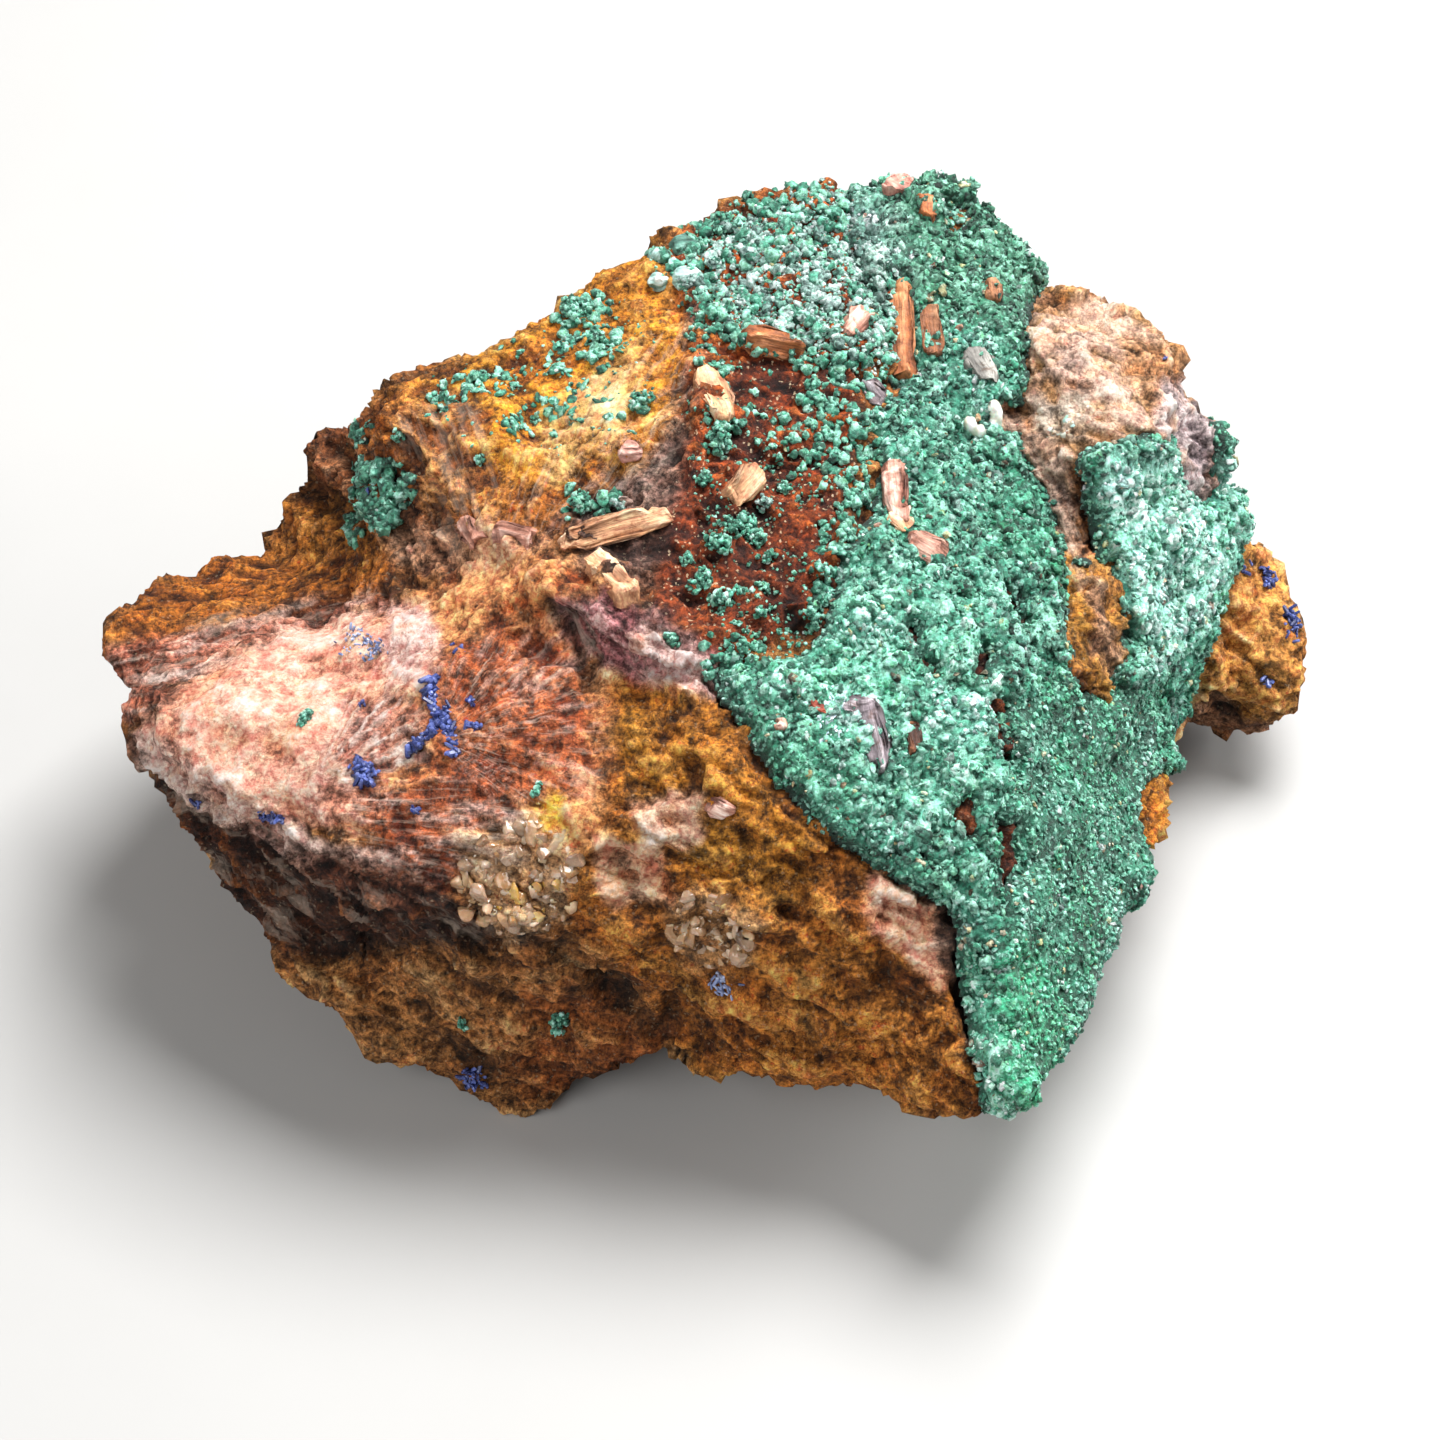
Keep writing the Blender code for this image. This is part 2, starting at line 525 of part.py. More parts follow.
def make_crust(parts, rock):
    """The malachite crust: the rock's own faces in its zone, lifted into a lumpy shell."""
    shell = bmesh.new()
    shell.from_mesh(rock.data)
    bmesh.ops.triangulate(shell, faces=shell.faces)
    kept = set(largest_patch(crust_faces(shell)))
    bmesh.ops.delete(shell, geom=[f for f in shell.faces if f not in kept], context="FACES")
    split_pinches(shell)
    shell.verts.index_update()
    normals = [vert.normal.copy() for vert in shell.verts]
    spots = [vert.co / MM for vert in shell.verts]
    rim = [any(edge.is_boundary for edge in vert.link_edges) for vert in shell.verts]
    low, high = [], []
    for spot, normal, edge in zip(spots, normals, rim):
        lump = noise.turbulence(spot / CRUST_LUMP_SIZE, 2, False) - 0.4
        thick = CRUST_RIM if edge else CRUST_THICKNESS + CRUST_LUMP * lump
        low.append((spot + normal * BOND_GAP) * MM)
        high.append((spot + normal * (BOND_GAP + thick)) * MM)
    count = len(spots)
    faces = [[v.index + count for v in face.verts] for face in shell.faces]
    faces += [[v.index for v in reversed(face.verts)] for face in shell.faces]
    for edge in shell.edges:
        if edge.is_boundary:
            near, far = directed(edge)
            faces.append([far + count, near + count, near, far])
    shell.free()
    mesh = bpy.data.meshes.new("malachite_crust")
    mesh.from_pydata(low + high, [], faces)
    crust = bpy.data.objects.new("malachite_crust", mesh)
    parts.objects.link(crust)
    return crust


def directed(edge):
    """A rim edge's two vertex numbers in the order its one face runs."""
    loop = edge.link_loops[0]
    return loop.vert.index, loop.link_loop_next.vert.index


def largest_patch(faces):
    """The largest group of faces that join edge to edge."""
    left, best = set(faces), []
    while left:
        group, rising = [], [left.pop()]
        while rising:
            face = rising.pop()
            group.append(face)
            for edge in face.edges:
                fresh = [other for other in edge.link_faces if other in left]
                left.difference_update(fresh)
                rising += fresh
        best = max(best, group, key=len)
    return best


def split_pinches(shell):
    """Drop faces at any vertex where two parts of the rim touch."""
    while True:
        pinched = [
            vert for vert in shell.verts
            if sum(edge.is_boundary for edge in vert.link_edges) > 2
        ]
        if not pinched:
            break
        faces = {face for vert in pinched for face in vert.link_faces}
        bmesh.ops.delete(shell, geom=list(faces), context="FACES")
        keep = set(largest_patch(shell.faces))
        loose = [face for face in shell.faces if face not in keep]
        bmesh.ops.delete(shell, geom=loose, context="FACES")


def grown_copy(rock, cutters, gap):
    """The rock's shape swelled by a gap, as a cutter."""
    shell = bmesh.new()
    shell.from_mesh(rock.data)
    shell.normal_update()
    normals = [vert.normal.copy() for vert in shell.verts]
    for vert, normal in zip(shell.verts, normals):
        vert.co += normal * gap * MM
    mesh = bpy.data.meshes.new("grown_rock")
    shell.to_mesh(mesh)
    shell.free()
    grown = bpy.data.objects.new("grown_rock", mesh)
    cutters.objects.link(grown)
    return grown


def crystal(name, centre, axis, spin, length, ends, cutters):
    """One flat-faced prism, wider at its base than at its tip."""
    shell = bmesh.new()
    base, tip = ends
    place = Matrix.Translation(centre * MM) @ turned_to(axis, spin)
    bmesh.ops.create_cone(
        shell, cap_ends=True, segments=CRYSTAL_SIDES, radius1=base * MM,
        radius2=tip * MM, depth=length * MM,
        matrix=place @ Matrix.Diagonal((1, CRYSTAL_FLATNESS, 1, 1)),
    )
    mesh = bpy.data.meshes.new(name)
    shell.to_mesh(mesh)
    shell.free()
    made = bpy.data.objects.new(name, mesh)
    cutters.objects.link(made)
    return made


def spray_crystals(name, spray, tree, cutters, dice):
    """The crystals of one spray: a low plate on the rock and the prisms that rise from it."""
    (across, up), along, wide, count, length, heading = spray
    turn = math.radians(heading)
    seat, normal = landed(tree, across, up)
    plate = max(along, wide) * PLATE_SHARE
    made = [crystal(
        name + "_plate", seat + normal * BOND_GAP, normal, turn, PLATE_HEIGHT,
        (plate, plate * PLATE_TAPER), cutters,
    )]
    for index in range(count):
        step = ((index + 0.5) / count * 2 - 1) * along
        side = dice.uniform(-wide, wide) * 0.5
        seat, normal = landed(
            tree, across + step * math.cos(turn) - side * math.sin(turn),
            up + step * math.sin(turn) + side * math.cos(turn),
        )
        lean = Vector([dice.uniform(-PRISM_LEAN, PRISM_LEAN) for _ in range(3)])
        axis = (normal + lean).normalized()
        size = length * dice.uniform(1 - PRISM_SPREAD, 1 + PRISM_SPREAD)
        made.append(crystal(
            name + "_prism", seat + normal * size * PRISM_LIFT, axis,
            dice.uniform(0, math.pi), size, (size * PRISM_FOOT, size * PRISM_TIP), cutters,
        ))
    return made


def make_cluster(name, sprays, parts, cutters, tree, grown, dice):
    """One azurite cluster: crystals grown together, cut back to the rock."""
    pieces = []
    for spray in sprays:
        pieces += spray_crystals(name, spray, tree, cutters, dice)
    cluster = bpy.data.objects.new(name, pieces[0].data.copy())
    parts.objects.link(cluster)
    for piece in pieces[1:]:
        add_boolean(cluster, piece, "UNION")
    add_boolean(cluster, grown, "DIFFERENCE")
    bpy.context.view_layer.update()
    baked(cluster)
    keep_largest_body(cluster.data)
    return cluster


def add_boolean(target, tool, operation):
    """A Boolean modifier of one object on another."""
    step = target.modifiers.new(tool.name, "BOOLEAN")
    step.operation = operation
    step.solver = "EXACT"
    step.object = tool
    return step


def keep_largest_body(mesh):
    """Leave only the largest connected body of a mesh."""
    shell = bmesh.new()
    shell.from_mesh(mesh)
    keep = set(largest_patch(shell.faces))
    loose = [face for face in shell.faces if face not in keep]
    bmesh.ops.delete(shell, geom=loose, context="FACES")
    shell.to_mesh(mesh)
    shell.free()


def stand_on_origin(parts):
    """Move everything so the box's bottom middle is the origin."""
    boxes = [Vector(vert.co) for part in parts.objects for vert in part.data.vertices]
    low = [min(spot[axis] for spot in boxes) for axis in range(3)]
    high = [max(spot[axis] for spot in boxes) for axis in range(3)]
    shift = Vector(((low[0] + high[0]) / 2, (low[1] + high[1]) / 2, low[2]))
    for part in parts.objects:
        part.data.transform(Matrix.Translation(-shift))
    return shift


def finish_for(name):
    """The Principled material of a part."""
    key = "azurite" if name.startswith("azurite") else name
    found = bpy.data.materials.get(key)
    if found:
        return found
    colour, roughness = FINISHES[key]
    made = bpy.data.materials.new(key)
    made.use_nodes = True
    shader = made.node_tree.nodes["Principled BSDF"]
    shader.inputs["Base Color"].default_value = colour
    shader.inputs["Roughness"].default_value = roughness
    shader.inputs["Metallic"].default_value = 0.0
    made.diffuse_color = colour
    return made


def clear_scene():
    """Remove whatever the scene holds."""
    for leftover in list(bpy.data.objects):
        bpy.data.objects.remove(leftover, do_unlink=True)


def collection(name):
    """A new collection linked to the scene."""
    made = bpy.data.collections.new(name)
    bpy.context.scene.collection.children.link(made)
    return made


def main():
    """Build the specimen."""
    clear_scene()
    parts = collection("azurite_specimen")
    cutters = collection("cutters")
    rock = make_rock(parts, cutters)
    make_crust(parts, rock)
    tree = tree_of(rock.data)
    grown = grown_copy(rock, cutters, BOND_GAP)
    dice = random.Random(SEED)
    for name, sprays in CLUSTERS.items():
        make_cluster(name, sprays, parts, cutters, tree, grown, dice)
    shift = stand_on_origin(parts)
    for part in parts.objects:
        part.data.materials.clear()
        part.data.materials.append(finish_for(part.name))
    for cutter in cutters.objects:
        cutter.hide_render = True
        cutter.display_type = "WIRE"
        cutter.data.transform(Matrix.Translation(-shift))
    cutters.hide_render = True
    return shift


if __name__ == "__main__":
    main()
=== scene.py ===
"""Dressed model of a copper ore hand specimen.

An iron-stained, partly fibrous host rock carries a green malachite crust, loose malachite
balls, peach spar blades, glassy quartz and small azurite sprays. Stains and growths are
placed by sighting: each is named on a grid seen from one raised viewpoint, whose cells are
0.078 mm wide, and lands on whatever surface that line of sight meets first.
"""

import enum
import logging
import math
from dataclasses import dataclass, field

import bmesh
import bpy
import numpy as np
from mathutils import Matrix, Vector
from mathutils.bvhtree import BVHTree

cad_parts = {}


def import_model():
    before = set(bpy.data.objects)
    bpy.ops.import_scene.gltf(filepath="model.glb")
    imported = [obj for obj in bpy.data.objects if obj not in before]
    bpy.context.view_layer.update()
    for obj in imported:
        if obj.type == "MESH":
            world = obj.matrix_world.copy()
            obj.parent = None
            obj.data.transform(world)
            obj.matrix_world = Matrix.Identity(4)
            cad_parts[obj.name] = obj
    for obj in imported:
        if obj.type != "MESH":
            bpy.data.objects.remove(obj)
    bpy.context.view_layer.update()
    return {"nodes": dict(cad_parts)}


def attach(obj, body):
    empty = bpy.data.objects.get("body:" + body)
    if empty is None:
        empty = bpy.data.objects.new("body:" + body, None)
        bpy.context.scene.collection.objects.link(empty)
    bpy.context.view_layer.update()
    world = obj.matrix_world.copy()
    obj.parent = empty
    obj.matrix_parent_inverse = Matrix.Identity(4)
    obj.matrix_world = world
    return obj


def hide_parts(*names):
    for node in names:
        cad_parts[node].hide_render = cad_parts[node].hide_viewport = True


MM = 0.001
Spot = tuple[float, float]
Outline = tuple[Spot, ...]
Array = np.ndarray

log = logging.getLogger("specimen")


def rgb(code: str) -> Array:
    """Linear colour of a six-digit sRGB code: each channel undone by the sRGB curve."""
    parts = np.array([int(code[i:i + 2], 16) for i in (0, 2, 4)]) / 255
    return np.where(parts <= 0.04045, parts / 12.92, ((parts + 0.055) / 1.055) ** 2.4)


def path(text: str) -> Outline:
    """Spots from text: column and row with a comma between, spots with a space between."""
    return tuple(tuple(float(part) for part in spot.split(",")) for spot in text.split())


def smooth_step(low: float, high: float, values: Array) -> Array:
    """Ramp from 0 at low to 1 at high, with level ends: t * t * (3 - 2 * t)."""
    share = np.clip((values - low) / (high - low), 0, 1)
    return share * share * (3 - 2 * share)


def unit(vectors: Array) -> Array:
    """Vectors shortened or stretched to length one."""
    return vectors / np.maximum(np.linalg.norm(vectors, axis=-1, keepdims=True), 1e-12)


class Noise:
    """Seeded patterns of a point in space, worked out for whole arrays of points."""

    @staticmethod
    def hashed(cells: Array, seed: int) -> Array:
        """One number from 0 to 1 for each whole-numbered cell.

        The three cell numbers and the seed are multiplied by large odd numbers, summed and
        folded on themselves by bit shifts.

        Args:
            cells: whole numbers, the last axis of length three.
            seed: picks one of many unlike patterns.

        Returns:
            An array shaped as cells without its last axis.
        """
        whole = cells.astype(np.int64).astype(np.uint32)
        mixed = (
            whole[..., 0] * np.uint32(374761393)
            + whole[..., 1] * np.uint32(668265263)
            + whole[..., 2] * np.uint32(2246822519)
            + np.uint32(seed * 3266489917 % 2**32)
        )
        mixed = (mixed ^ (mixed >> np.uint32(15))) * np.uint32(2246822519)
        mixed = (mixed ^ (mixed >> np.uint32(13))) * np.uint32(3266489917)
        mixed = mixed ^ (mixed >> np.uint32(16))
        return (mixed & np.uint32(0xFFFFFF)) / float(0x1000000)

    @classmethod
    def value(cls, points: Array, seed: int) -> Array:
        """Soft noise from -1 to 1: hashed cell corners, blended by a quintic ramp.

        Args:
            points: places, one unit to a cell.
            seed: picks the pattern.

        Returns:
            One number a point.
        """
        floor = np.floor(points)
        part = points - floor
        ramp = part * part * part * (part * (part * 6 - 15) + 10)
        total = np.zeros(points.shape[0])
        for corner in np.ndindex(2, 2, 2):
            step = np.array(corner)
            weight = np.prod(np.where(step, ramp, 1 - ramp), axis=-1)
            total += weight * cls.hashed(floor + step, seed)
        return total * 2 - 1

    @classmethod
    def shift(cls, points: Array, seed: int) -> Array:
        """Soft noise along each of the three axes, shape (n, 3)."""
        return np.stack([cls.value(points, seed + axis) for axis in range(3)], axis=-1)

    @classmethod
    def fractal(cls, points: Array, octaves: int, seed: int, gain: float = 0.5) -> Array:
        """Sum of ever finer and weaker value noise, scaled back to about -1 to 1.

        Args:
            points: places, one unit to a cell of the coarsest layer.
            octaves: how many layers, each twice as fine as the last.
            seed: picks the pattern.
            gain: strength of each layer against the last.

        Returns:
            One number a point.
        """
        total, weight, reach = np.zeros(points.shape[0]), 1.0, 0.0
        for layer in range(octaves):
            total += weight * cls.value(points * 2.03**layer + 17.3 * layer, seed + layer)
            reach += weight
            weight *= gain
        return total / reach * 1.6

    @classmethod
    def ridged(cls, points: Array, octaves: int, seed: int) -> Array:
        """Sharp crests from 0 to 1: one less the size of each layer's noise, squared.

        Args:
            points: places, one unit to a cell of the coarsest layer.
            octaves: how many layers.
            seed: picks the pattern.

        Returns:
            One number a point.
        """
        total, weight, reach = np.zeros(points.shape[0]), 1.0, 0.0
        for layer in range(octaves):
            crest = 1 - np.abs(cls.value(points * 2.03**layer + 9.1 * layer, seed + layer))
            total += weight * crest * crest
            reach += weight
            weight *= 0.5
        return total / reach

    @classmethod
    def cells(cls, points: Array, seed: int) -> tuple[Array, Array, Array]:
        """Distances to the nearest and second nearest of one random seed point per cell.

        Args:
            points: places, one unit to a cell.
            seed: picks the pattern.

        Returns:
            The nearest distance, the second nearest, and a number from 0 to 1 that is the
            same all over one seed point's region.
        """
        floor = np.floor(points)
        near = np.full(points.shape[0], 9.0)
        second = near.copy()
        owner = np.zeros(points.shape[0])
        for offset in np.ndindex(3, 3, 3):
            cell = floor + np.array(offset) - 1
            jitter = np.stack([cls.hashed(cell, seed + axis) for axis in range(3)], axis=-1)
            gap = np.linalg.norm(cell + jitter - points, axis=-1)
            closer = gap < near
            second = np.where(closer, near, np.minimum(second, gap))
            owner = np.where(closer, cls.hashed(cell, seed + 5), owner)
            near = np.where(closer, gap, near)
        return near, second, owner


@dataclass(frozen=True)
class Sight:
    """The viewpoint that everything is sighted from, and its grid of small cells."""

    raised_deg: float = 50.0
    distance_mm: float = 378.3
    middle_mm: tuple[float, float, float] = (0.194, 9.384, 0.0)
    cell_mm: float = 0.078
    middle_cell: float = 720.0
    lens_mm: float = 121.25
    sensor_mm: float = 36.0

    def frame(self) -> tuple[Array, Array, Array]:
        """The sight's right, up and backward directions."""
        lift = math.radians(self.raised_deg)
        rise, run = math.sin(lift), math.cos(lift)
        return np.array([1.0, 0, 0]), np.array([0, rise, run]), np.array([0, -run, rise])

    def eye(self) -> Array:
        """The viewpoint in metres."""
        return (np.array(self.middle_mm) + self.frame()[2] * self.distance_mm) * MM

    def grid(self, points: Array) -> Array:
        """Grid column and row of points given in metres.

        Each point is taken along the sight's right, up and backward directions; the first
        two are divided by the share of the distance that is left in front of the point.

        Args:
            points: places in metres, shape (n, 3).

        Returns:
            Columns and rows, shape (n, 2).
        """
        right, up, back = self.frame()
        from_middle = points / MM - np.array(self.middle_mm)
        left = 1 - from_middle @ back / self.distance_mm
        across = from_middle @ right / left / self.cell_mm
        risen = from_middle @ up / left / self.cell_mm
        return np.stack([self.middle_cell + across, self.middle_cell - risen], axis=-1)

    def facing(self, points: Array, normals: Array) -> Array:
        """How squarely each surface point is turned to the viewpoint, from -1 to 1."""
        return np.sum(unit(self.eye() - points) * normals, axis=-1)

    def ray(self, spot: Spot) -> Vector:
        """The direction from the viewpoint through one grid spot.

        Args:
            spot: grid column and row.

        Returns:
            The direction, of length one.
        """
        right, up, _ = self.frame()
        across = (spot[0] - self.middle_cell) * self.cell_mm
        risen = (self.middle_cell - spot[1]) * self.cell_mm
        aim = (np.array(self.middle_mm) + right * across + up * risen) * MM
        return Vector(aim - self.eye()).normalized()


SIGHT = Sight()


def inside_by(grid: Array, outline: Outline) -> Array:
    """How deep each grid point lies inside an outline, in cells; negative outside.

    The size is the distance to the nearest edge. The sign is the parity of how many edges
    a level line from the point crosses.

    Args:
        grid: columns and rows, shape (n, 2).
        outline: the corners in order.

    Returns:
        One signed distance a point.
    """
    corners = np.array(outline, dtype=float)
    near = np.full(grid.shape[0], np.inf)
    odd = np.zeros(grid.shape[0], dtype=bool)
    for start, end in zip(corners, np.roll(corners, -1, axis=0)):
        near = np.minimum(near, segment_gap(grid, start, end))
        if start[1] != end[1]:
            crosses = (start[1] > grid[:, 1]) != (end[1] > grid[:, 1])
            at = start[0] + (grid[:, 1] - start[1]) / (end[1] - start[1]) * (end[0] - start[0])
            odd ^= crosses & (grid[:, 0] < at)
    return np.where(odd, near, -near)


def segment_gap(grid: Array, start: Array, end: Array) -> Array:
    """Distance from each grid point to a straight run between two spots.

    Args:
        grid: columns and rows, shape (n, 2).
        start: the first spot.
        end: the other spot.

    Returns:
        One distance a point, in cells.
    """
    run = end - start
    share = np.clip(((grid - start) @ run) / max(run @ run, 1e-9), 0, 1)
    return np.linalg.norm(grid - start - share[:, None] * run, axis=-1)


def line_gap(grid: Array, line: Outline) -> Array:
    """Distance from each grid point to the nearest run of a bent line.

    Args:
        grid: columns and rows, shape (n, 2).
        line: the line's spots in order.

    Returns:
        One distance a point, in cells.
    """
    spots = np.array(line, dtype=float)
    gaps = [segment_gap(grid, a, b) for a, b in zip(spots[:-1], spots[1:])]
    return np.min(gaps, axis=0)


@dataclass(frozen=True)
class Tones:
    """The three colours of one mineral surface: a darker one for its pits, which is painted shade, its body
    colour, and a lighter one for its crests, which is painted highlight.
    """

    # The pit colour is painted shade and the crest colour painted highlight.
    pit: str
    body: str
    crest: str

    def rows(self) -> Array:
        """The three shades as linear colours, shape (3, 3)."""
        return np.stack([rgb(self.pit), rgb(self.body), rgb(self.crest)])


@dataclass(frozen=True)
class Stain:
    """One coloured patch: where it lies, its shades and how its skin behaves."""

    name: str
    outline: Outline
    tones: Tones
    feather: float = 12.0
    strength: float = 1.0
    gloss: float = 0.0
    # glitter: how many sparks show, smooth cells also lightened in colour as painted glints.
    glitter: float = 0.0

    def share(self, grid: Array, waver: Array) -> Array:
        """How much of each point the patch covers, from 0 to 1.

        The depth inside the outline, shifted by a waver so the edge wanders, is ramped
        over the feather on both sides.

        Args:
            grid: columns and rows, shape (n, 2).
            waver: shift of the edge in cells, one number a point.

        Returns:
            One share a point.
        """
        depth = inside_by(grid, self.outline) + waver
        return smooth_step(-self.feather, self.feather, depth) * self.strength


@dataclass(frozen=True)
class Fan:
    """Fibres that spread from one spot: where they show, and how much they show."""

    name: str
    outline: Outline
    centre: Spot
    strength: float = 1.0
    feather: float = 14.0
    width_mm: float = 0.34
    relief_mm: float = 0.16
    white: float = 0.0


@dataclass(frozen=True)
class Crack:
    """A groove, or with a negative depth a raised ridge, along a bent line."""

    name: str
    line: Outline
    width: float
    depth_mm: float


ROCK_GROUND = Tones("42240f", "8a5628", "b8864c")

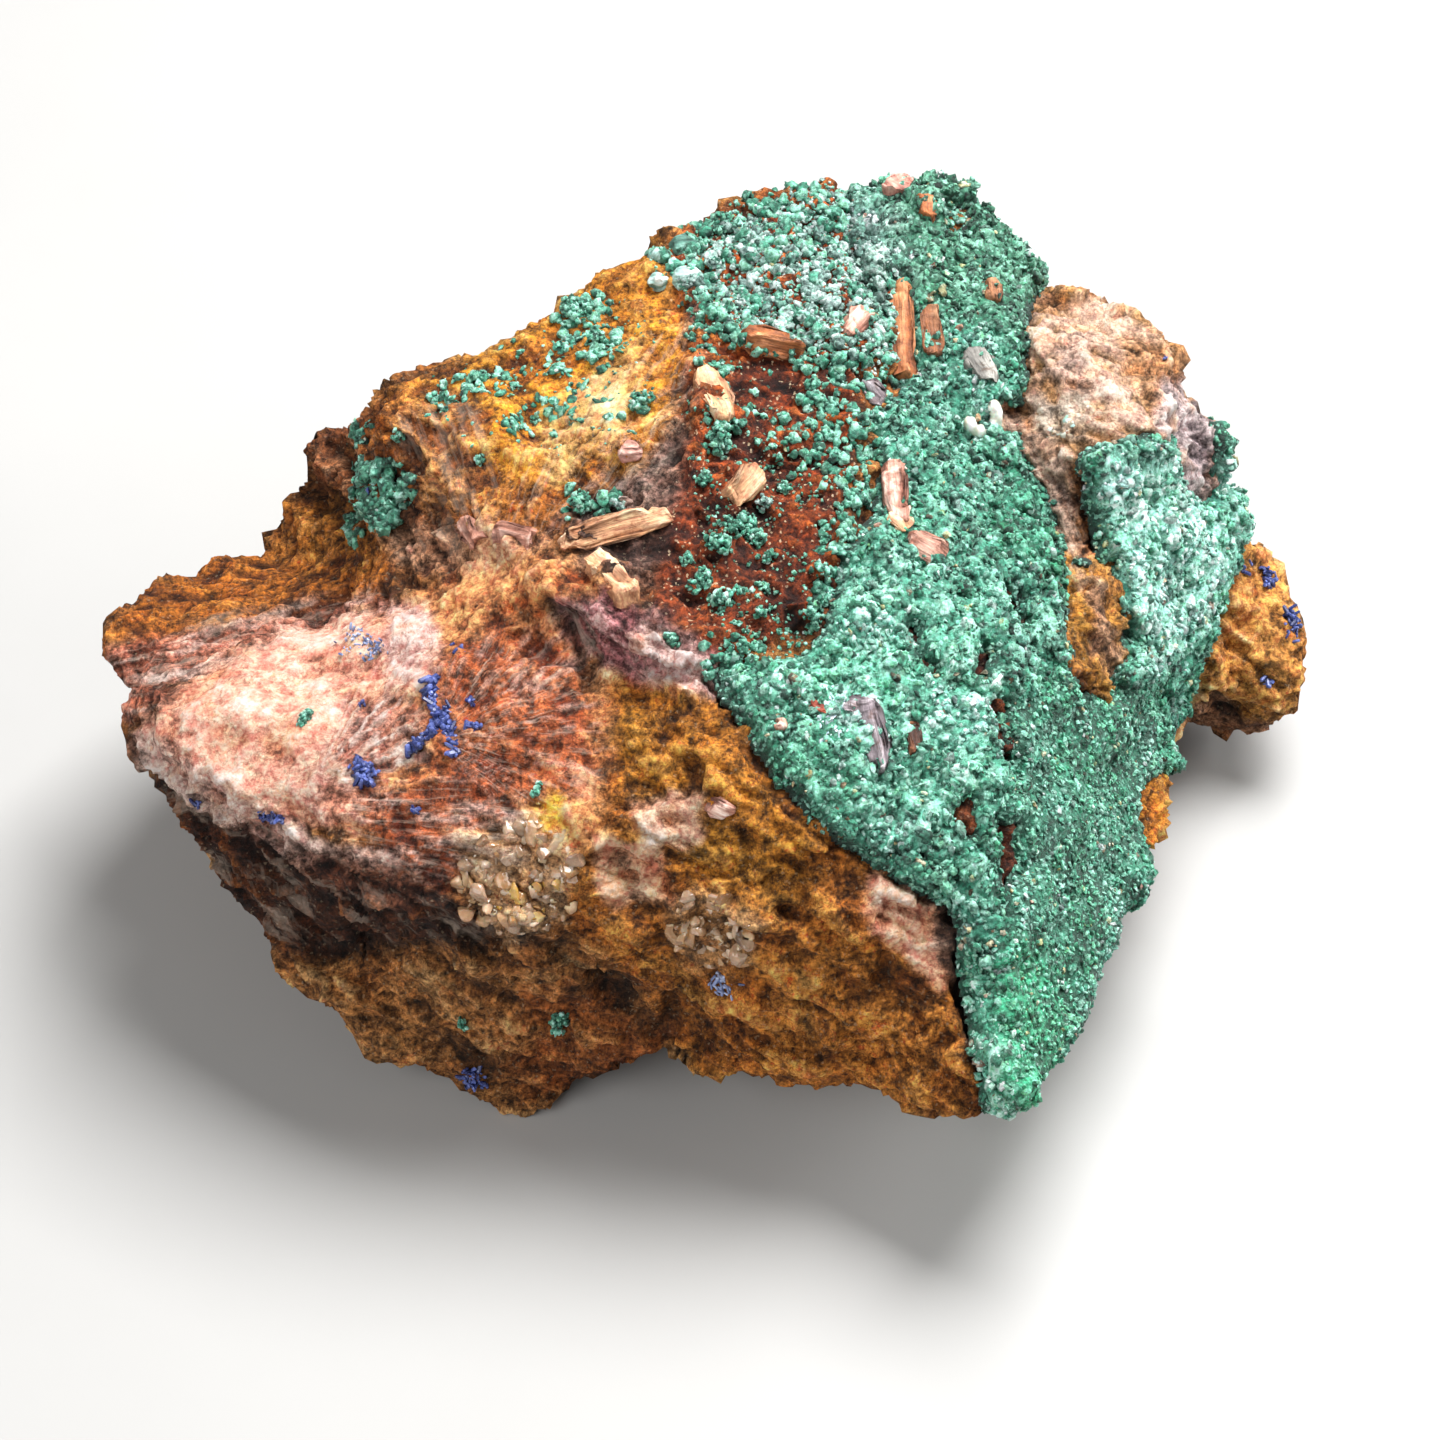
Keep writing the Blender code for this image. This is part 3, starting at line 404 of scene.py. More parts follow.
ROCK_STAINS = (
    Stain("front_face", path(
        "600,830 585,700 640,650 700,680 760,755 830,835 900,885 950,910 980,1000 1000,1120 "
        "940,1115 880,1110 700,1085 640,1060 600,1000 560,900"
    ), Tones("5a300e", "a06022", "c88c40")),
    Stain("front_gold", path(
        "600,700 690,690 760,770 820,850 790,900 700,880 630,800"
    ), Tones("6e4412", "ac7424", "cc9848"), 26, 0.8),
    Stain("front_low", path(
        "700,960 860,930 960,960 985,1080 880,1100 720,1070"
    ), Tones("6a3c12", "bc7830", "e4a858"), 24, 0.75),
    Stain("foot", path(
        "240,895 300,950 420,938 520,925 600,950 670,1030 650,1055 560,1105 480,1120 440,1070 "
        "400,1085 330,1030 255,950"
    ), Tones("4c2e14", "9a6636", "c89c66")),
    # Painted shade: the overhang's underside is painted near-black.
    Stain("underside_band", path(
        "110,725 150,742 220,795 300,850 400,872 490,905 560,950 500,945 420,948 300,960 235,940 "
        "215,885 180,840 140,790"
    ), Tones("1c0a03", "40200e", "7c4820"), 12),
    Stain("fibrous_face", path(
        "380,605 470,560 560,530 640,595 610,700 600,830 500,905 400,870 330,830 350,740 350,650"
    ), Tones("984c24", "dc9c62", "f2c89c"), 14, 1.0, 0.35),
    Stain("red_fan", path(
        "435,655 500,620 590,650 600,760 570,800 500,800 450,790 425,730"
    ), Tones("682810", "a8522a", "d08a5c"), 16, 0.9, 0.45),
    Stain("low_fan", path(
        "350,800 440,770 520,800 520,850 470,890 380,870"
    ), Tones("501a0a", "8c3c1c", "c08058"), 14, 0.9, 0.45),
    Stain("pink_lobe", path(
        "130,738 158,702 210,655 300,625 370,605 400,640 392,700 365,770 330,830 240,800 180,765"
    ), Tones("c4846a", "e8b098", "f8d6c6"), 12, 1.0, 0.1),
    Stain("pink_lobe_peach", path(
        "200,690 280,660 330,690 320,760 250,770 200,735"
    ), Tones("c88a6c", "eab89e", "f8dccc"), 22, 0.8),
    Stain("ledge_side", path(
        "88,655 130,636 200,625 300,605 368,588 384,605 300,628 212,660 160,700 125,725 98,690"
    ), Tones("60301f", "a66550", "d09e8c"), 9),
    Stain("ledge_top", path(
        "85,655 145,582 200,558 280,545 330,535 410,560 372,590 300,605 200,625 130,637"
    ), Tones("4e260a", "a05c1c", "c88438"), 9),
    Stain("back_bump", path(
        "278,565 280,440 330,410 380,415 372,500 372,560 330,565"
    ), Tones("2a1008", "804a28", "c08c64"), 10),
    Stain("back_bump_foot", path(
        "275,490 330,490 372,530 370,570 272,570"
    ), Tones("542c10", "b0702a", "d49a50"), 12, 0.9),
    Stain("ribs", path(
        "365,420 400,380 470,390 505,460 500,520 440,560 395,545 372,500"
    ), Tones("2a1206", "8c4c1c", "cc8438"), 12),
    Stain("golden_slope", path(
        "385,400 450,362 520,332 580,284 640,240 690,250 690,340 672,420 640,480 560,525 500,525 "
        "470,450"
    ), Tones("7c420e", "cc8a26", "f0c470"), 14),
    Stain("low_slope_pale", path(
        "540,540 580,520 640,520 650,548 600,560 560,566"
    ), Tones("b07848", "f4c896", "fff0d0"), 10, 0.8),
    Stain("left_ribs_pale", path(
        "408,440 430,415 455,430 470,480 450,500 425,480"
    ), Tones("844820", "cc8848", "f0c084"), 10, 0.6),
    Stain("golden_low", path(
        "480,480 560,470 620,490 600,560 520,565 470,550"
    ), Tones("5e2e12", "b8702e", "e8b478"), 18, 0.85),
    Stain("golden_edge", path(
        "380,415 450,380 520,345 580,300 640,250 650,262 590,318 520,368 450,402 400,425"
    ), Tones("6a3410", "a8621e", "d8964a"), 8, 0.9),
    Stain("golden_high", path(
        "540,332 600,285 650,258 664,300 620,345 560,362"
    ), Tones("5a2c0c", "a8661c", "d09440"), 12, 0.85),
    Stain("rib_brow", path(
        "395,395 455,385 480,430 470,500 430,520 400,460"
    ), Tones("7a4420", "dca060", "fad49c"), 14, 0.7),
    Stain("apron", path(
        "560,500 640,465 690,400 712,500 690,560 640,590 580,565"
    ), Tones("34201a", "70544a", "b09484"), 16),
    Stain("plateau", path(
        "655,250 720,212 800,185 900,165 900,300 860,400 850,520 840,600 770,650 712,665 655,600 "
        "660,540 690,450 690,330"
    ), Tones("2a0c04", "7c3412", "b4622a"), 13, 1.0, 0.25, 1.0),
    Stain("plateau_rust", path(
        "660,260 710,250 740,330 720,420 680,420 680,330"
    ), Tones("3a1406", "8a4216", "c47a34"), 18, 0.7, 0.0, 0.5),
    Stain("mauve_facet", path(
        "548,602 600,588 655,608 712,655 715,690 640,685 580,655"
    ), Tones("4a2426", "a4686a", "e4bcb4"), 9, 1.0, 0.3),
    Stain("facet_edge", path(
        "640,612 690,640 726,680 712,694 660,668 624,640"
    ), Tones("8c6058", "d8b4ac", "f4e2dc"), 8, 0.8),
    Stain("chalk_patch", path(
        "388,598 428,602 442,640 428,690 398,684 376,640"
    ), Tones("a8786c", "e2beb4", "faeae4"), 9, 0.95),
    Stain("lilac_lumps", path(
        "376,522 404,512 450,532 500,524 552,528 560,548 500,568 440,576 392,562"
    ), Tones("6a4434", "c89878", "f2d8c4"), 12, 0.6),
    Stain("straw_strokes", path(
        "540,430 585,385 640,340 650,372 610,430 570,480 540,490"
    ), Tones("a0702c", "e8c480", "fdf0c8"), 14, 0.7),
    Stain("front_high", path(
        "640,690 700,700 752,770 800,830 760,850 700,800 650,750"
    ), Tones("4a2408", "a2641e", "e0a448"), 18, 0.6),
    Stain("pink_low", path(
        "300,770 340,735 385,745 392,790 350,830 305,820"
    ), Tones("6e3424", "b06e56", "e4bca8"), 14, 0.85),
    Stain("rosy_brush", path(
        "338,765 352,705 400,690 430,712 420,760 375,785"
    ), Tones("5c2c24", "a06456", "d8aea0"), 10, 0.85, 0.2),
    Stain("foot_right", path(
        "520,985 600,1000 668,1040 640,1070 560,1105 500,1080"
    ), Tones("2e1406", "84461c", "c07c40"), 18, 0.85),
    # Painted shade: the rock under the crust, seen in its cracks and at its edge, is painted near-black.
    Stain("under_crust", path(
        "900,300 960,300 1060,560 1060,1000 960,900 860,640"
    ), Tones("160604", "42180c", "74381e"), 12, 0.95),
    Stain("lobe_lip", path(
        "130,735 158,735 205,770 255,805 320,838 400,852 395,872 318,862 240,830 190,800 150,770"
    ), Tones("9a6a5c", "ddbcae", "faeee6"), 8, 0.9),
    Stain("purple_edge", path(
        "295,845 350,850 420,878 400,905 335,892"
    ), Tones("2e1610", "70422e", "b4846a"), 10, 0.8, 0.3),
    Stain("quartz_pale", path(
        "462,835 520,820 575,850 570,915 510,945 460,905"
    ), Tones("6a4a2c", "b08860", "dcbe98"), 10, 0.9, 0.8),
    Stain("quartz_low", path(
        "668,900 715,888 762,918 752,965 700,972 662,940"
    ), Tones("5e3e1e", "9c7248", "c8a070"), 10, 0.85, 0.8),
    Stain("yellow_fleck", path(
        "532,802 560,798 568,826 545,836"
    ), Tones("a87418", "dca830", "f4d878"), 7, 0.9),
    Stain("pink_orange", path(
        "598,842 655,838 668,900 622,908 592,882"
    ), Tones("c87c54", "f8c8a4", "ffe8d0"), 8, 0.85, 0.3),
    Stain("white_pink", path(
        "632,800 700,795 702,838 646,842"
    ), Tones("9c6648", "dcb098", "f4dccc"), 8, 0.8),
    Stain("salmon", path(
        "868,878 915,882 952,915 965,970 940,995 912,960 872,930"
    ), Tones("985434", "dca284", "f6d8c4"), 8, 0.9),
    # A crack along the crust's edge, painted near-black as the edge's painted shadow.
    Stain("dark_seam", path(
        "922,868 952,888 978,955 994,1040 1000,1100 982,1108 964,1040 950,965 934,915"
    ), Tones("120a06", "2c1a12", "54382a"), 6, 0.95),
    Stain("boss", path(
        "1032,300 1100,305 1150,330 1192,390 1176,432 1132,442 1092,442 1060,472 1028,445 "
        "1028,380"
    ), Tones("a07850", "cfaf9a", "f4e6d8"), 9),
    Stain("boss_mauve", path(
        "1060,330 1085,335 1100,380 1080,400 1052,372"
    ), Tones("6a4a44", "ac8c80", "dcc4b4"), 12, 0.6),
    Stain("boss_grey", path(
        "1035,395 1075,400 1085,430 1050,445 1030,425"
    ), Tones("70665a", "b0a898", "e0dccc"), 9, 0.6, 0.4),
    Stain("boss_rust", path(
        "1120,335 1168,345 1200,395 1180,440 1150,400 1120,370"
    ), Tones("7a4418", "b07a46", "dcae84"), 10, 0.8),
    Stain("lilac_patch", path(
        "1160,385 1200,380 1216,440 1212,505 1180,500 1160,450"
    ), Tones("685a60", "bcacae", "e4dad8"), 10, 0.85),
    Stain("step_ridge", path(
        "1000,405 1040,430 1066,475 1088,565 1096,590 1062,590 1050,530 1018,460 992,430"
    ), Tones("6a4c3c", "b49480", "e0ccbc"), 8, 0.95, 0.2),
    Stain("ochre_strip", path(
        "1062,555 1102,560 1126,620 1128,695 1104,712 1084,665 1064,612"
    ), Tones("6c3e12", "ac7830", "d0a05c"), 7),
    Stain("strip_mauve", path(
        "1085,575 1104,580 1118,640 1112,680 1096,640"
    ), Tones("58403c", "94746a", "c8a898"), 7, 0.6),
    Stain("right_lobe", path(
        "1225,525 1302,550 1330,660 1310,755 1170,755 1172,690 1212,640"
    ), Tones("8c5a24", "d0924a", "f2cc94"), 9),
    # Painted shade: the lobe's underside is painted darker and greyer.
    Stain("right_lobe_under", path(
        "1180,700 1226,706 1250,722 1305,720 1295,750 1190,752"
    ), Tones("34201a", "94684c", "d8b49c"), 8, 0.95),
    Stain("low_right_ochre", path(
        "1142,778 1172,775 1172,835 1150,858 1136,820"
    ), Tones("74400e", "c27c28", "e0ac5c"), 7),
)

CRUST_GROUND = Tones("0a3024", "3c8c72", "9cd6c0")

CRUST_STAINS = (
    Stain("crest_deep", path(
        "880,165 975,160 1060,270 1030,340 930,310 870,260"
    ), Tones("0a261c", "2e6e52", "78b498"), 20, 0.9),
    Stain("bloom", path(
        "650,300 700,255 745,215 850,192 905,225 890,330 800,360 730,345 670,330"
    ), Tones("2c4840", "70988c", "c0d2cc"), 26, 0.85),
    Stain("mint_left", path(
        "720,640 800,600 900,590 990,620 1004,720 965,840 860,830 770,740"
    ), Tones("1c5644", "66b89c", "c4f0e0"), 26, 0.85),
    Stain("mint_right", path(
        "1110,460 1245,470 1240,640 1150,665 1110,560"
    ), Tones("2e7c68", "a6e8d4", "ecfff8"), 18, 0.85),
    Stain("velvet", path(
        "1000,690 1060,665 1165,690 1155,860 1100,1000 1040,1075 1005,1060 1000,860"
    ), Tones("164836", "48a080", "9cdcc2"), 18, 0.9),
    Stain("vivid_tip", path(
        "985,960 1020,930 1060,950 1065,1050 1035,1120 980,1120"
    ), Tones("12583a", "3cb080", "98e4c2"), 16, 0.8),
    Stain("arris_flecks", path(
        "930,895 985,960 1010,1110 985,1120 955,1010"
    ), Tones("1c5a44", "6cc4a4", "e4f4ec"), 12, 0.7),
    # Painted shadow: the step beside the boss casts it on the crust here.
    Stain("step_shadow", path(
        "985,440 1030,455 1056,540 1062,600 1030,580 1000,520"
    ), Tones("06301f", "1c7052", "4cae88"), 12, 0.8),
    Stain("edge_right", path(
        "1175,655 1220,600 1240,540 1260,560 1200,720 1175,760"
    ), Tones("125040", "3a9c7a", "84d4b6"), 10, 0.7),
    Stain("deep_patch", path(
        "752,700 800,690 870,740 884,800 820,812 770,770"
    ), Tones("06301f", "1e7052", "62bc98"), 16, 0.75),
    Stain("deep_streak", path(
        "700,730 735,720 790,800 850,850 830,862 770,820"
    ), Tones("08301f", "2a7c5e", "80ccb0"), 16, 0.6),
)

CRUST_OUTLINE: Outline = path(
    "842,150 980,150 1072,268 1200,320 1290,488 1240,546 1216,622 1186,704 1206,822 1152,980 "
    "1050,1105 1018,1130 986,1116 980,1082 968,1002 950,902 898,882 828,832 758,752 714,676 "
    "764,662 806,650 830,624 832,590 842,552 872,514 880,490 868,428 896,382 880,300 842,240"
)

BARE_WINDOWS: tuple[Outline, ...] = (
    path("1032,300 1098,250 1212,326 1188,394 1166,434 1098,444 1062,472 1030,440 1022,380"),
    path("1068,562 1112,562 1124,624 1108,700 1080,698 1066,624"),
    path("992,406 1032,404 1066,442 1086,482 1098,560 1068,562 1056,520 1042,484 1018,448 998,430"),
    path("942,208 964,206 968,236 946,238"),
    path("1142,780 1170,777 1170,834 1150,854 1138,820"),
    path("886,282 906,285 908,372 888,374"),
    path("1172,396 1196,386 1216,436 1214,500 1186,498 1170,450"),
    path("968,678 979,650 991,655 984,682"),
    path("986,706 997,704 1014,762 1004,776"),
    path("995,820 1011,824 1012,882 1000,900"),
    path("906,628 914,622 932,668 926,676"),
    path("958,806 966,800 972,830 964,838"),
    path("1000,590 1010,586 1022,626 1012,632"),
)

FANS = (
    Fan("golden_brush", path(
        "500,520 520,450 600,380 650,330 700,300 700,400 650,480 580,540"
    ), (452, 660), 0.8, 20, 0.4, 0.14, 0.15),
    Fan("rib_grooves", path(
        "372,420 470,400 500,470 480,550 400,550"
    ), (120, -500), 0.75, 14, 1.1, 0.55, 0.0),
    Fan("red_brush", path(
        "446,660 540,615 598,650 604,760 570,812 480,800 450,750"
    ), (436, 738), 1.0, 16, 0.3, 0.2, 0.28),
    Fan("low_brush", path(
        "345,800 440,778 540,805 520,860 420,880 350,850"
    ), (180, 800), 1.0, 14, 0.36, 0.2, 0.35),
    Fan("white_brush", path(
        "322,775 342,700 396,640 436,690 424,762 372,792"
    ), (312, 786), 1.0, 12, 0.3, 0.16, 0.7),
    Fan("mauve_cleavage", path(
        "548,600 655,605 722,680 700,700 580,660"
    ), (380, 420), 0.9, 10, 0.5, 0.2, 0.3),
    Fan("ledge_grain", path(
        "95,660 200,622 372,586 384,606 212,664 130,722"
    ), (-700, 900), 0.9, 9, 0.5, 0.14, 0.4),
    Fan("pink_grain", path(
        "160,735 220,670 370,612 380,700 320,800"
    ), (40, 980), 0.35, 22, 0.6, 0.08, 0.2),
    Fan("underside_grain", path(
        "130,735 300,850 500,915 480,945 260,940 190,850"
    ), (-180, 520), 0.9, 12, 0.8, 0.4, 0.0),
    Fan("step_grain", path(
        "1000,405 1066,475 1100,590 1066,590 1015,460"
    ), (880, 120), 0.7, 8, 0.4, 0.14, 0.3),
)

CRACKS = (
    Crack("facet_crevice", path("546,606 572,634 584,662 590,682"), 9, 1.2),
    Crack("under_plateau", path("600,600 650,622 700,662 716,684"), 7, 0.5),
    Crack("rib_foot", path("392,470 398,520 404,560"), 9, 0.9),
    Crack("seam", path("900,876 950,900 968,1000 984,1092"), 9, 0.9),
    Crack("crust_crack", path("1003,700 1004,770 1000,850 1003,930"), 4, 0.7),
    Crack("lobe_notch", path("1182,690 1210,694 1228,714"), 8, 0.8),
    Crack("foot_notch", path("668,1000 668,1030 672,1060"), 9, 0.9),
    Crack("back_hollow_a", path("300,470 318,500 340,512"), 13, 1.8),
    Crack("back_hollow_b", path("336,450 352,470"), 10, 1.4),
    Crack("ledge_line", path("132,640 210,628 300,608 370,592"), 5, 0.35),
    Crack("lobe_pits", path("215,700 218,702"), 5, 0.5),
    Crack("face_fold", path("590,700 596,760 604,830"), 7, 0.45),
    Crack("front_gully_a", path("620,860 660,930 690,1000 690,1060"), 12, 0.7),
    Crack("front_gully_b", path("770,880 800,960 810,1050"), 10, 0.6),
    Crack("front_shelf", path("640,930 700,900 780,930 860,960"), 9, -0.5),
    Crack("low_ledge", path("560,960 620,1000 650,1030"), 12, 0.9),
    Crack("foot_shelf", path("300,960 400,950 500,946"), 12, 0.7),
    Crack("boss_edge", path("1024,450 1050,482 1062,560"), 9, -0.6),
    Crack("plateau_brow", path("690,330 700,420 690,500 660,560"), 10, -0.35),
)


class Layer(enum.Enum):
    """The per-vertex records that the finishes read."""

    TONE = "tone"
    SKIN = "skin"
    GRAIN = "grain"


class Bench:
    """A material being wired: adds shader nodes and joins their sockets."""

    def __init__(self, name: str) -> None:
        """Start an empty Principled material of this name.

        Args:
            name: the material's name.
        """
        self.material = bpy.data.materials.new(name)
        self.material.use_nodes = True
        self.nodes = self.material.node_tree.nodes
        self.links = self.material.node_tree.links
        self.shader = self.nodes["Principled BSDF"]

    def add(self, kind: str, **values: object) -> bpy.types.Node:
        """Add a node, setting its own properties and, by name, its input sockets.

        Args:
            kind: the node's type without the leading ShaderNode.
            values: property names, or socket names with underscores for spaces.

        Returns:
            The new node.
        """
        node = self.nodes.new("ShaderNode" + kind)
        for key, value in values.items():
            if hasattr(node, key):
                setattr(node, key, value)
            else:
                self.feed(node, key.replace("_", " "), value)
        return node

    def feed(self, node: bpy.types.Node, socket: str | int, value: object) -> None:
        """Give an input socket a number, a colour, or another node's output.

        Args:
            node: the node that is fed.
            socket: the input's name or number.
            value: what it takes.
        """
        target = node.inputs[socket]
        if isinstance(value, bpy.types.NodeSocket):
            self.links.new(value, target)
        else:
            target.default_value = value

    def place(self) -> bpy.types.NodeSocket:
        """The object's own coordinates."""
        return self.add("TexCoord").outputs["Object"]

    def layer(self, which: Layer) -> bpy.types.Node:
        """The node that reads one per-vertex record.

        Args:
            which: the record.

        Returns:
            The node.
        """
        node = self.add("Attribute")
        node.attribute_name = which.value
        return node

    def noise(self, where: bpy.types.NodeSocket, scale: float, detail: float,
              rough: float = 0.6, warp: float = 0.0) -> bpy.types.NodeSocket:
        """A soft noise's strength, about 0 to 1.

        Args:
            where: the coordinates.
            scale: cells a metre.
            detail: finer layers.
            rough: how strong those are.
            warp: how far it is bent.

        Returns:
            The strength.
        """
        node = self.add("TexNoise", Vector=where, Scale=scale, Detail=detail,
                        Roughness=rough, Distortion=warp)
        return node.outputs["Fac"]

    def cells(self, where: bpy.types.NodeSocket,
              scale: float) -> bpy.types.bpy_prop_collection:
        """Three random numbers, each the same all over one cell of a pattern."""
        return self.parts(self.add("TexVoronoi", Vector=where, Scale=scale).outputs["Color"])

    def math(self, kind: str, first: object, second: object = 0.0,
             clamp: bool = False) -> bpy.types.NodeSocket:
        """One sum of two numbers or outputs.

        Args:
            kind: the operation.
            first: its first term.
            second: its second.
            clamp: whether the result is held to 0 to 1.

        Returns:
            The result.
        """
        node = self.add("Math", operation=kind, use_clamp=clamp)
        self.feed(node, 0, first)
        self.feed(node, 1, second)
        return node.outputs[0]

    def span(self, value: object, low: float, high: float, start: float,
             end: float) -> bpy.types.NodeSocket:
        """A number carried from one range to another, held at the ends.

        Args:
            value: the number.
            low: where the first range starts.
            high: where it ends.
            start: what low becomes.
            end: what high becomes.

        Returns:
            The carried number.
        """
        node = self.add("MapRange")
        for index, number in enumerate((value, low, high, start, end)):
            self.feed(node, index, number)
        return node.outputs[0]

    def blend(self, kind: str, share: object, first: object,
              second: object) -> bpy.types.NodeSocket:
        """Two colours mixed in one of the blend modes.

        Args:
            kind: the mode.
            share: how much of the second, 0 to 1.
            first: the colour below.
            second: the colour on top.

        Returns:
            The mixed colour.
        """
        node = self.add("Mix", data_type="RGBA", blend_type=kind)
        self.feed(node, 0, share)
        self.feed(node, 6, first)
        self.feed(node, 7, second)
        return node.outputs[2]

    def bump(self, height: object, depth_mm: float, share: object = 1.0,
             under: object = None) -> bpy.types.NodeSocket:
        """Light and shade of small relief.

        Args:
            height: the relief, 0 to 1.
            depth_mm: how deep 0 to 1 is.
            share: how strongly it shows.
            under: a coarser bump that this one rides on.

        Returns:
            The changed normal.
        """
        node = self.add("Bump", Distance=depth_mm * MM)
        self.feed(node, "Height", height)
        self.feed(node, "Strength", share)
        if under is not None:
            self.feed(node, "Normal", under)
        return node.outputs["Normal"]

    def shade(self, colour: object, force: object, value: object, low: float, high: float,
              start: float, end: float) -> bpy.types.NodeSocket:
        """A colour overlaid with a grey that follows a number.

        Args:
            colour: what is darkened and lightened.
            force: how strongly, 0 to 1.
            value: the number.
            low: where the number starts to count.
            high: where it stops.
            start: the grey at low.
            end: the grey at high.

        Returns:
            The changed colour.
        """
        grey = self.add("CombineColor")
        level = self.span(value, low, high, start, end)
        for index in range(3):
            self.feed(grey, index, level)
        return self.blend("OVERLAY", force, colour, grey.outputs[0])

    def parts(self, colour: bpy.types.NodeSocket) -> bpy.types.bpy_prop_collection:
        """A colour's red, green and blue outputs.

        Args:
            colour: the colour.

        Returns:
            The three outputs.
        """
        node = self.add("SeparateColor")
        self.feed(node, 0, colour)
        return node.outputs

    def done(self, colour: object, rough: object, relief: object,
             **more: float) -> bpy.types.Material:
        """Feed the shader.

        Args:
            colour: its base colour.
            rough: its roughness.
            relief: its normal.
            more: other sockets by name, with underscores for spaces.

        Returns:
            The material.
        """
        sockets = {"Base Color": colour, "Roughness": rough, "Normal": relief, **more}
        for key, value in sockets.items():
            self.feed(self.shader, key.replace("_", " "), value)
        return self.material


@dataclass(frozen=True)
class RockFinish:
    """Iron-stained rock: stains from the tone record, broken up by grain, fibres and painted glints."""

    name: str = "iron_stained_rock"
    grain_scale: float = 850.0
    grit_scale: float = 2500.0
    vein_scale: float = 620.0
    spark_scale: float = 6200.0

    def material(self) -> bpy.types.Material:
        """Wire the finish.

        The tone is darkened and lightened by grain and grit, crossed by thin dark veins
        where the veil noise is halfway, and streaked along the grain record where the skin
        record's green says fibres show. Sparks are tiny smooth cells lightened in colour as
        painted glints, most where its blue says so.

        Returns:
            The material.
        """
        bench = Bench(self.name)
        where = bench.place()
        gloss, fibre, glint = bench.parts(bench.layer(Layer.SKIN).outputs["Color"])
        tone = bench.layer(Layer.TONE).outputs["Color"]
        grain = bench.noise(where, self.grain_scale, 8, 0.7)
        grit = bench.noise(where, self.grit_scale, 5, 0.72)
        pale = bench.add("RGBToBW")
        bench.feed(pale, 0, tone)
        force = bench.span(pale.outputs[0], 0.18, 0.6, 0.92, 0.42)
        colour = bench.shade(tone, force, grain, 0.38, 0.62, 0.1, 0.92)
        colour = bench.shade(colour, force, grit, 0.38, 0.62, 0.1, 0.92)
        veil = bench.noise(where, self.vein_scale, 7, 0.66, 0.5)
        vein = bench.math("ABSOLUTE", bench.math("SUBTRACT", veil, 0.5))
        vein = bench.math("MULTIPLY", bench.span(vein, 0.0, 0.022, 0.8, 0.0),
                          bench.span(pale.outputs[0], 0.2, 0.7, 1.0, 0.3))
        colour = bench.blend("MULTIPLY", vein, colour, (0.2, 0.09, 0.04, 1))
        rust = bench.noise(where, self.vein_scale * 0.6, 5, 0.6)
        colour = bench.blend("MULTIPLY", bench.span(rust, 0.5, 0.62, 0.0, 0.5), colour,
                             (0.97, 0.7, 0.46, 1))
        flow = bench.layer(Layer.GRAIN).outputs["Vector"]
        streak = bench.noise(flow, 1.0, 6, 0.66, 0.25)
        light = bench.math("MULTIPLY", bench.span(streak, 0.52, 0.7, 0.0, 0.42), fibre)
        colour = bench.blend("SCREEN", light, colour, (0.85, 0.66, 0.52, 1))
        shade = bench.math("MULTIPLY", bench.span(streak, 0.32, 0.47, 0.62, 0.0), fibre)
        colour = bench.blend("MULTIPLY", shade, colour, (0.5, 0.25, 0.15, 1))
        # Painted glints: tiny cells lightened in colour and made smooth.
        cells = bench.cells(where, self.spark_scale)
        spark = bench.math("MULTIPLY", bench.span(cells[0], 0.95, 0.99, 0.0, 1.0),
                           bench.span(glint, 0.0, 1.0, 0.22, 1.0))
        colour = bench.blend("SCREEN", bench.math("MULTIPLY", spark, 0.6), colour,
                             (0.95, 0.72, 0.46, 1))
        rough = bench.span(grain, 0.35, 0.65, 0.92, 0.66)
        rough = bench.math("SUBTRACT", rough, bench.math("MULTIPLY", gloss, 0.42))
        rough = bench.math("SUBTRACT", rough, bench.math("MULTIPLY", spark, 0.6), True)
        relief = bench.bump(grain, 0.5, 1.0)
        relief = bench.bump(grit, 0.22, 1.0, relief)
        relief = bench.bump(streak, 0.24, fibre, relief)
        relief = bench.bump(cells[1], 0.04, 0.6, relief)
        return bench.done(colour, rough, relief, Specular_IOR_Level=0.3)


@dataclass(frozen=True)
class MalachiteFinish:
    """Velvety malachite: shades from the tone record, with needle-fine sparkle and bloom."""

    name: str = "malachite_velvet"
    grain_scale: float = 1500.0
    needle_scale: float = 4200.0

    def material(self) -> bpy.types.Material:
        """Wire the finish: two noises mottle the tone, cells give pale and dark needles.

        Returns:
            The material.
        """
        bench = Bench(self.name)
        where = bench.place()
        coarse = bench.noise(where, self.grain_scale, 6, 0.7)
        fine = bench.noise(where, self.needle_scale, 4, 0.7)
        needles = bench.cells(where, self.needle_scale)
        colour = bench.layer(Layer.TONE).outputs["Color"]
        colour = bench.shade(colour, 0.85, coarse, 0.3, 0.7, 0.06, 0.94)
        colour = bench.shade(colour, 0.75, fine, 0.32, 0.68, 0.1, 0.9)
        pale = bench.span(needles[0], 0.8, 1.0, 0.0, 0.6)
        colour = bench.blend("SCREEN", pale, colour, (0.36, 0.8, 0.62, 1))
        dark = bench.span(needles[1], 0.0, 0.25, 0.8, 0.0)
        colour = bench.blend("MULTIPLY", dark, colour, (0.1, 0.36, 0.26, 1))
        relief = bench.bump(coarse, 0.3, 0.85)
        relief = bench.bump(fine, 0.16, 0.95, relief)
        relief = bench.bump(needles[0], 0.05, 0.8, relief)
        return bench.done(colour, bench.span(needles[2], 0, 1, 0.42, 0.86), relief,
                          Specular_IOR_Level=0.4, Sheen_Weight=0.12, Sheen_Roughness=0.5)


